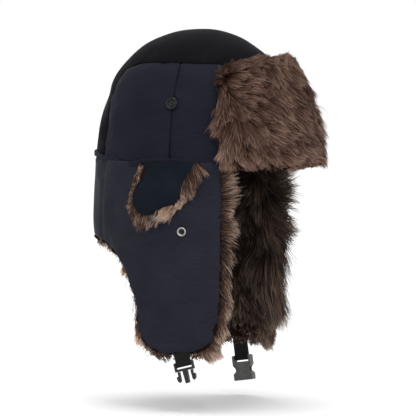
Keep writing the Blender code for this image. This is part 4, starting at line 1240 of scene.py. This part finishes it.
def build_snaps(label, side):
    place = place_on(dome, *CROWN_SNAP, side)
    radii = (6.5 * MM, 3.7 * MM)
    for piece in build_snap("crown_snap", label, place, radii, 0.2 * MM, BLACK_METAL, "black_metal"):
        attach(piece, "root")
    radii = (4.8 * MM, 2.7 * MM)
    for kind, spot in (("flap_snap", FLAP_SNAP), ("cover_snap", COVER_SNAP)):
        place = place_on(wall, *spot, side)
        for piece in build_snap(kind, label, place, radii, 0.5 * MM, BRIGHT_METAL, "bright_metal"):
            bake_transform(piece)
    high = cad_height(f"cover_snap_cap_{label}", place)
    # The cap gets the darker copy of the plated metal: painted shade in the fur.
    cap = turned(f"cover_cap_{label}", SNAP_CAP, MM, high, place, SHADED_PLATED_METAL, "bright_metal")
    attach(cap, f"ear_cover_{label}")
    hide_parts(f"cover_snap_cap_{label}", f"cover_snap_stud_{label}")


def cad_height(node, place):
    """How far a CAD node reaches above a place, along its Z axis."""
    low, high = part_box(node)
    back = place.inverted()
    corners = [Vector((x, y, z)) for x in (low[0], high[0]) for y in (low[1], high[1])
               for z in (low[2], high[2])]
    return max((back @ c).z for c in corners)


# ---------------------------------------------------------------- straps and buckle
def joint(name):
    return next(j for j in frame["joints"] if j["name"] == name)


def strap_place(joint_name):
    """The frame of a strap or buckle: +X out of the flap, +Y along the bar, -Z down the strap."""
    swing = joint(joint_name)
    y = -Vector(swing["axis"]).normalized()
    side = 1.0 if swing["pos_m"][0] > 0 else -1.0
    turn = math.radians(STRAP_TURN["left" if side > 0 else "right"])
    x = Vector((side * math.sin(turn), -math.cos(turn), 0.0))
    x = (x - y * x.dot(y)).normalized()
    made = Matrix((x, y, x.cross(y))).transposed().to_4x4()
    made.translation = swing["pos_m"]
    return made


WEBBING_HALF_WIDTH = 7.4 * MM
WEBBING_TURN = 2.2 * MM  # its turn round the buckle's bar
WEBBING_PLY = 1.05 * MM  # how far each ply lies from the strap's middle


def build_webbing(label):
    """The free webbing: it leaves the flap, turns round the buckle's bar and comes back."""
    half_buckle = "buckle_socket" if label == "left" else "buckle_plug"
    place = strap_place(f"strap_{label}_swing")
    bar = strap_place(f"{half_buckle}_swing").translation
    drop = (place.inverted() @ bar).z
    heights = np.linspace(6 * MM, drop + 3 * MM, 6)
    down = [(-WEBBING_PLY, z) for z in heights]
    around = [
        (WEBBING_TURN * math.sin(a), drop + WEBBING_TURN * math.cos(a))
        for a in np.linspace(-0.7, -2 * math.pi + 0.7, 15)
    ]
    up = [(WEBBING_PLY, z) for z in heights[::-1]]
    path = np.array(down + around + up)
    ys = np.linspace(-WEBBING_HALF_WIDTH, WEBBING_HALF_WIDTH, 9)
    points = moved_to(np.array([(x, y, z) for x, z in path for y in ys]), place)
    arc = arc_lengths(path)
    uv = np.stack(np.broadcast_arrays(arc[:, None], ys[None, :]), axis=-1).reshape(-1, 2)
    piece = new_mesh(f"webbing_{label}", points, grid_faces(len(path), len(ys)), uv)
    subdivide(piece)
    solidify(piece, 1.0 * MM, 0.0)
    dress(piece, WEBBING)
    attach(piece, f"strap_{label}")
    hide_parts(f"strap_webbing_{label}")


def build_scene():
    build_crown()
    build_visor()
    for label, side in SIDES.items():
        build_curtain(label, side)
        build_cover(label, side)
        build_snaps(label, side)
        build_webbing(label)
    for node in ("buckle_socket", "buckle_plug", "buckle_latch_front", "buckle_latch_rear"):
        frame["nodes"][node].data.materials.clear()
        # The socket gets the paler copy of the plastic: painted light.
        finish = LIT_SOCKET_PLASTIC if node == "buckle_socket" else PLUG_PLASTIC
        frame["nodes"][node].data.materials.append(finish)


# ---------------------------------------------------------------- stage
FLOOR_GAP = 14 * MM  # the hat hangs a little above the floor
LIGHTS = (  # name, azimuth, elevation, distance, size and power
    ("key", -88, 28, 1.8, 1.2, 6.0),
    ("fill", -25, 20, 1.9, 1.5, 5.0),
    ("rim", 110, 50, 1.8, 1.2, 1.5),
    ("glint", -50, 42, 1.6, 0.18, 4.0),
)


def way_to(azimuth, elevation):
    """The unit vector to a place seen at an azimuth from the front and an elevation, in degrees."""
    a, e = math.radians(azimuth), math.radians(elevation)
    return Vector((math.sin(a) * math.cos(e), -math.cos(a) * math.cos(e), math.sin(e)))


def build_stage():
    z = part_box("buckle_socket")[0][2] - FLOOR_GAP
    corners = np.array([(-6, -6, z), (6, -6, z), (6, 6, z), (-6, 6, z)])
    floor = new_mesh("floor", corners, [(0, 1, 2, 3)])
    pale = Shader("pale_floor", 0.9, Base_Color=(0.73, 0.73, 0.73, 1.0))
    floor.data.materials.append(pale.material)
    world = bpy.data.worlds.new("studio")
    world.use_nodes = True
    world.node_tree.nodes["Background"].inputs[0].default_value = (1.0, 1.0, 1.0, 1.0)
    world.node_tree.nodes["Background"].inputs[1].default_value = 1.0
    bpy.context.scene.world = world
    overhead = bpy.data.lights.new("overhead", "SUN")
    overhead.energy = 1.5
    overhead.angle = math.radians(38)
    bpy.context.scene.collection.objects.link(bpy.data.objects.new("overhead", overhead))
    for name, azimuth, elevation, far, size, power in LIGHTS:
        light = bpy.data.lights.new(name, "AREA")
        light.energy = power
        light.size = size
        holder = bpy.data.objects.new(name, light)
        bpy.context.scene.collection.objects.link(holder)
        back = way_to(azimuth, elevation)
        holder.location = back * far
        holder.rotation_euler = back.to_track_quat("Z", "Y").to_euler()


CAMERA_VIEW = (-68, 3.5)
CAMERA_FAR = 4.0
CAMERA_SEES = 0.416  # how wide the view is where the hat is


def build_camera():
    back = way_to(*CAMERA_VIEW)
    right = Vector((0, 0, 1)).cross(back).normalized()
    up = back.cross(right)
    aim = right * 7.5 * MM - up * 45 * MM
    data = bpy.data.cameras.new("camera")
    data.sensor_width = 36.0
    data.lens = data.sensor_width * CAMERA_FAR / CAMERA_SEES
    camera = bpy.data.objects.new("camera", data)
    bpy.context.scene.collection.objects.link(camera)
    camera.location = aim + back * CAMERA_FAR
    camera.rotation_euler = back.to_track_quat("Z", "Y").to_euler()
    bpy.context.scene.camera = camera


bpy.context.scene.view_settings.view_transform = "Standard"
build_camera()
build_stage()
build_scene()
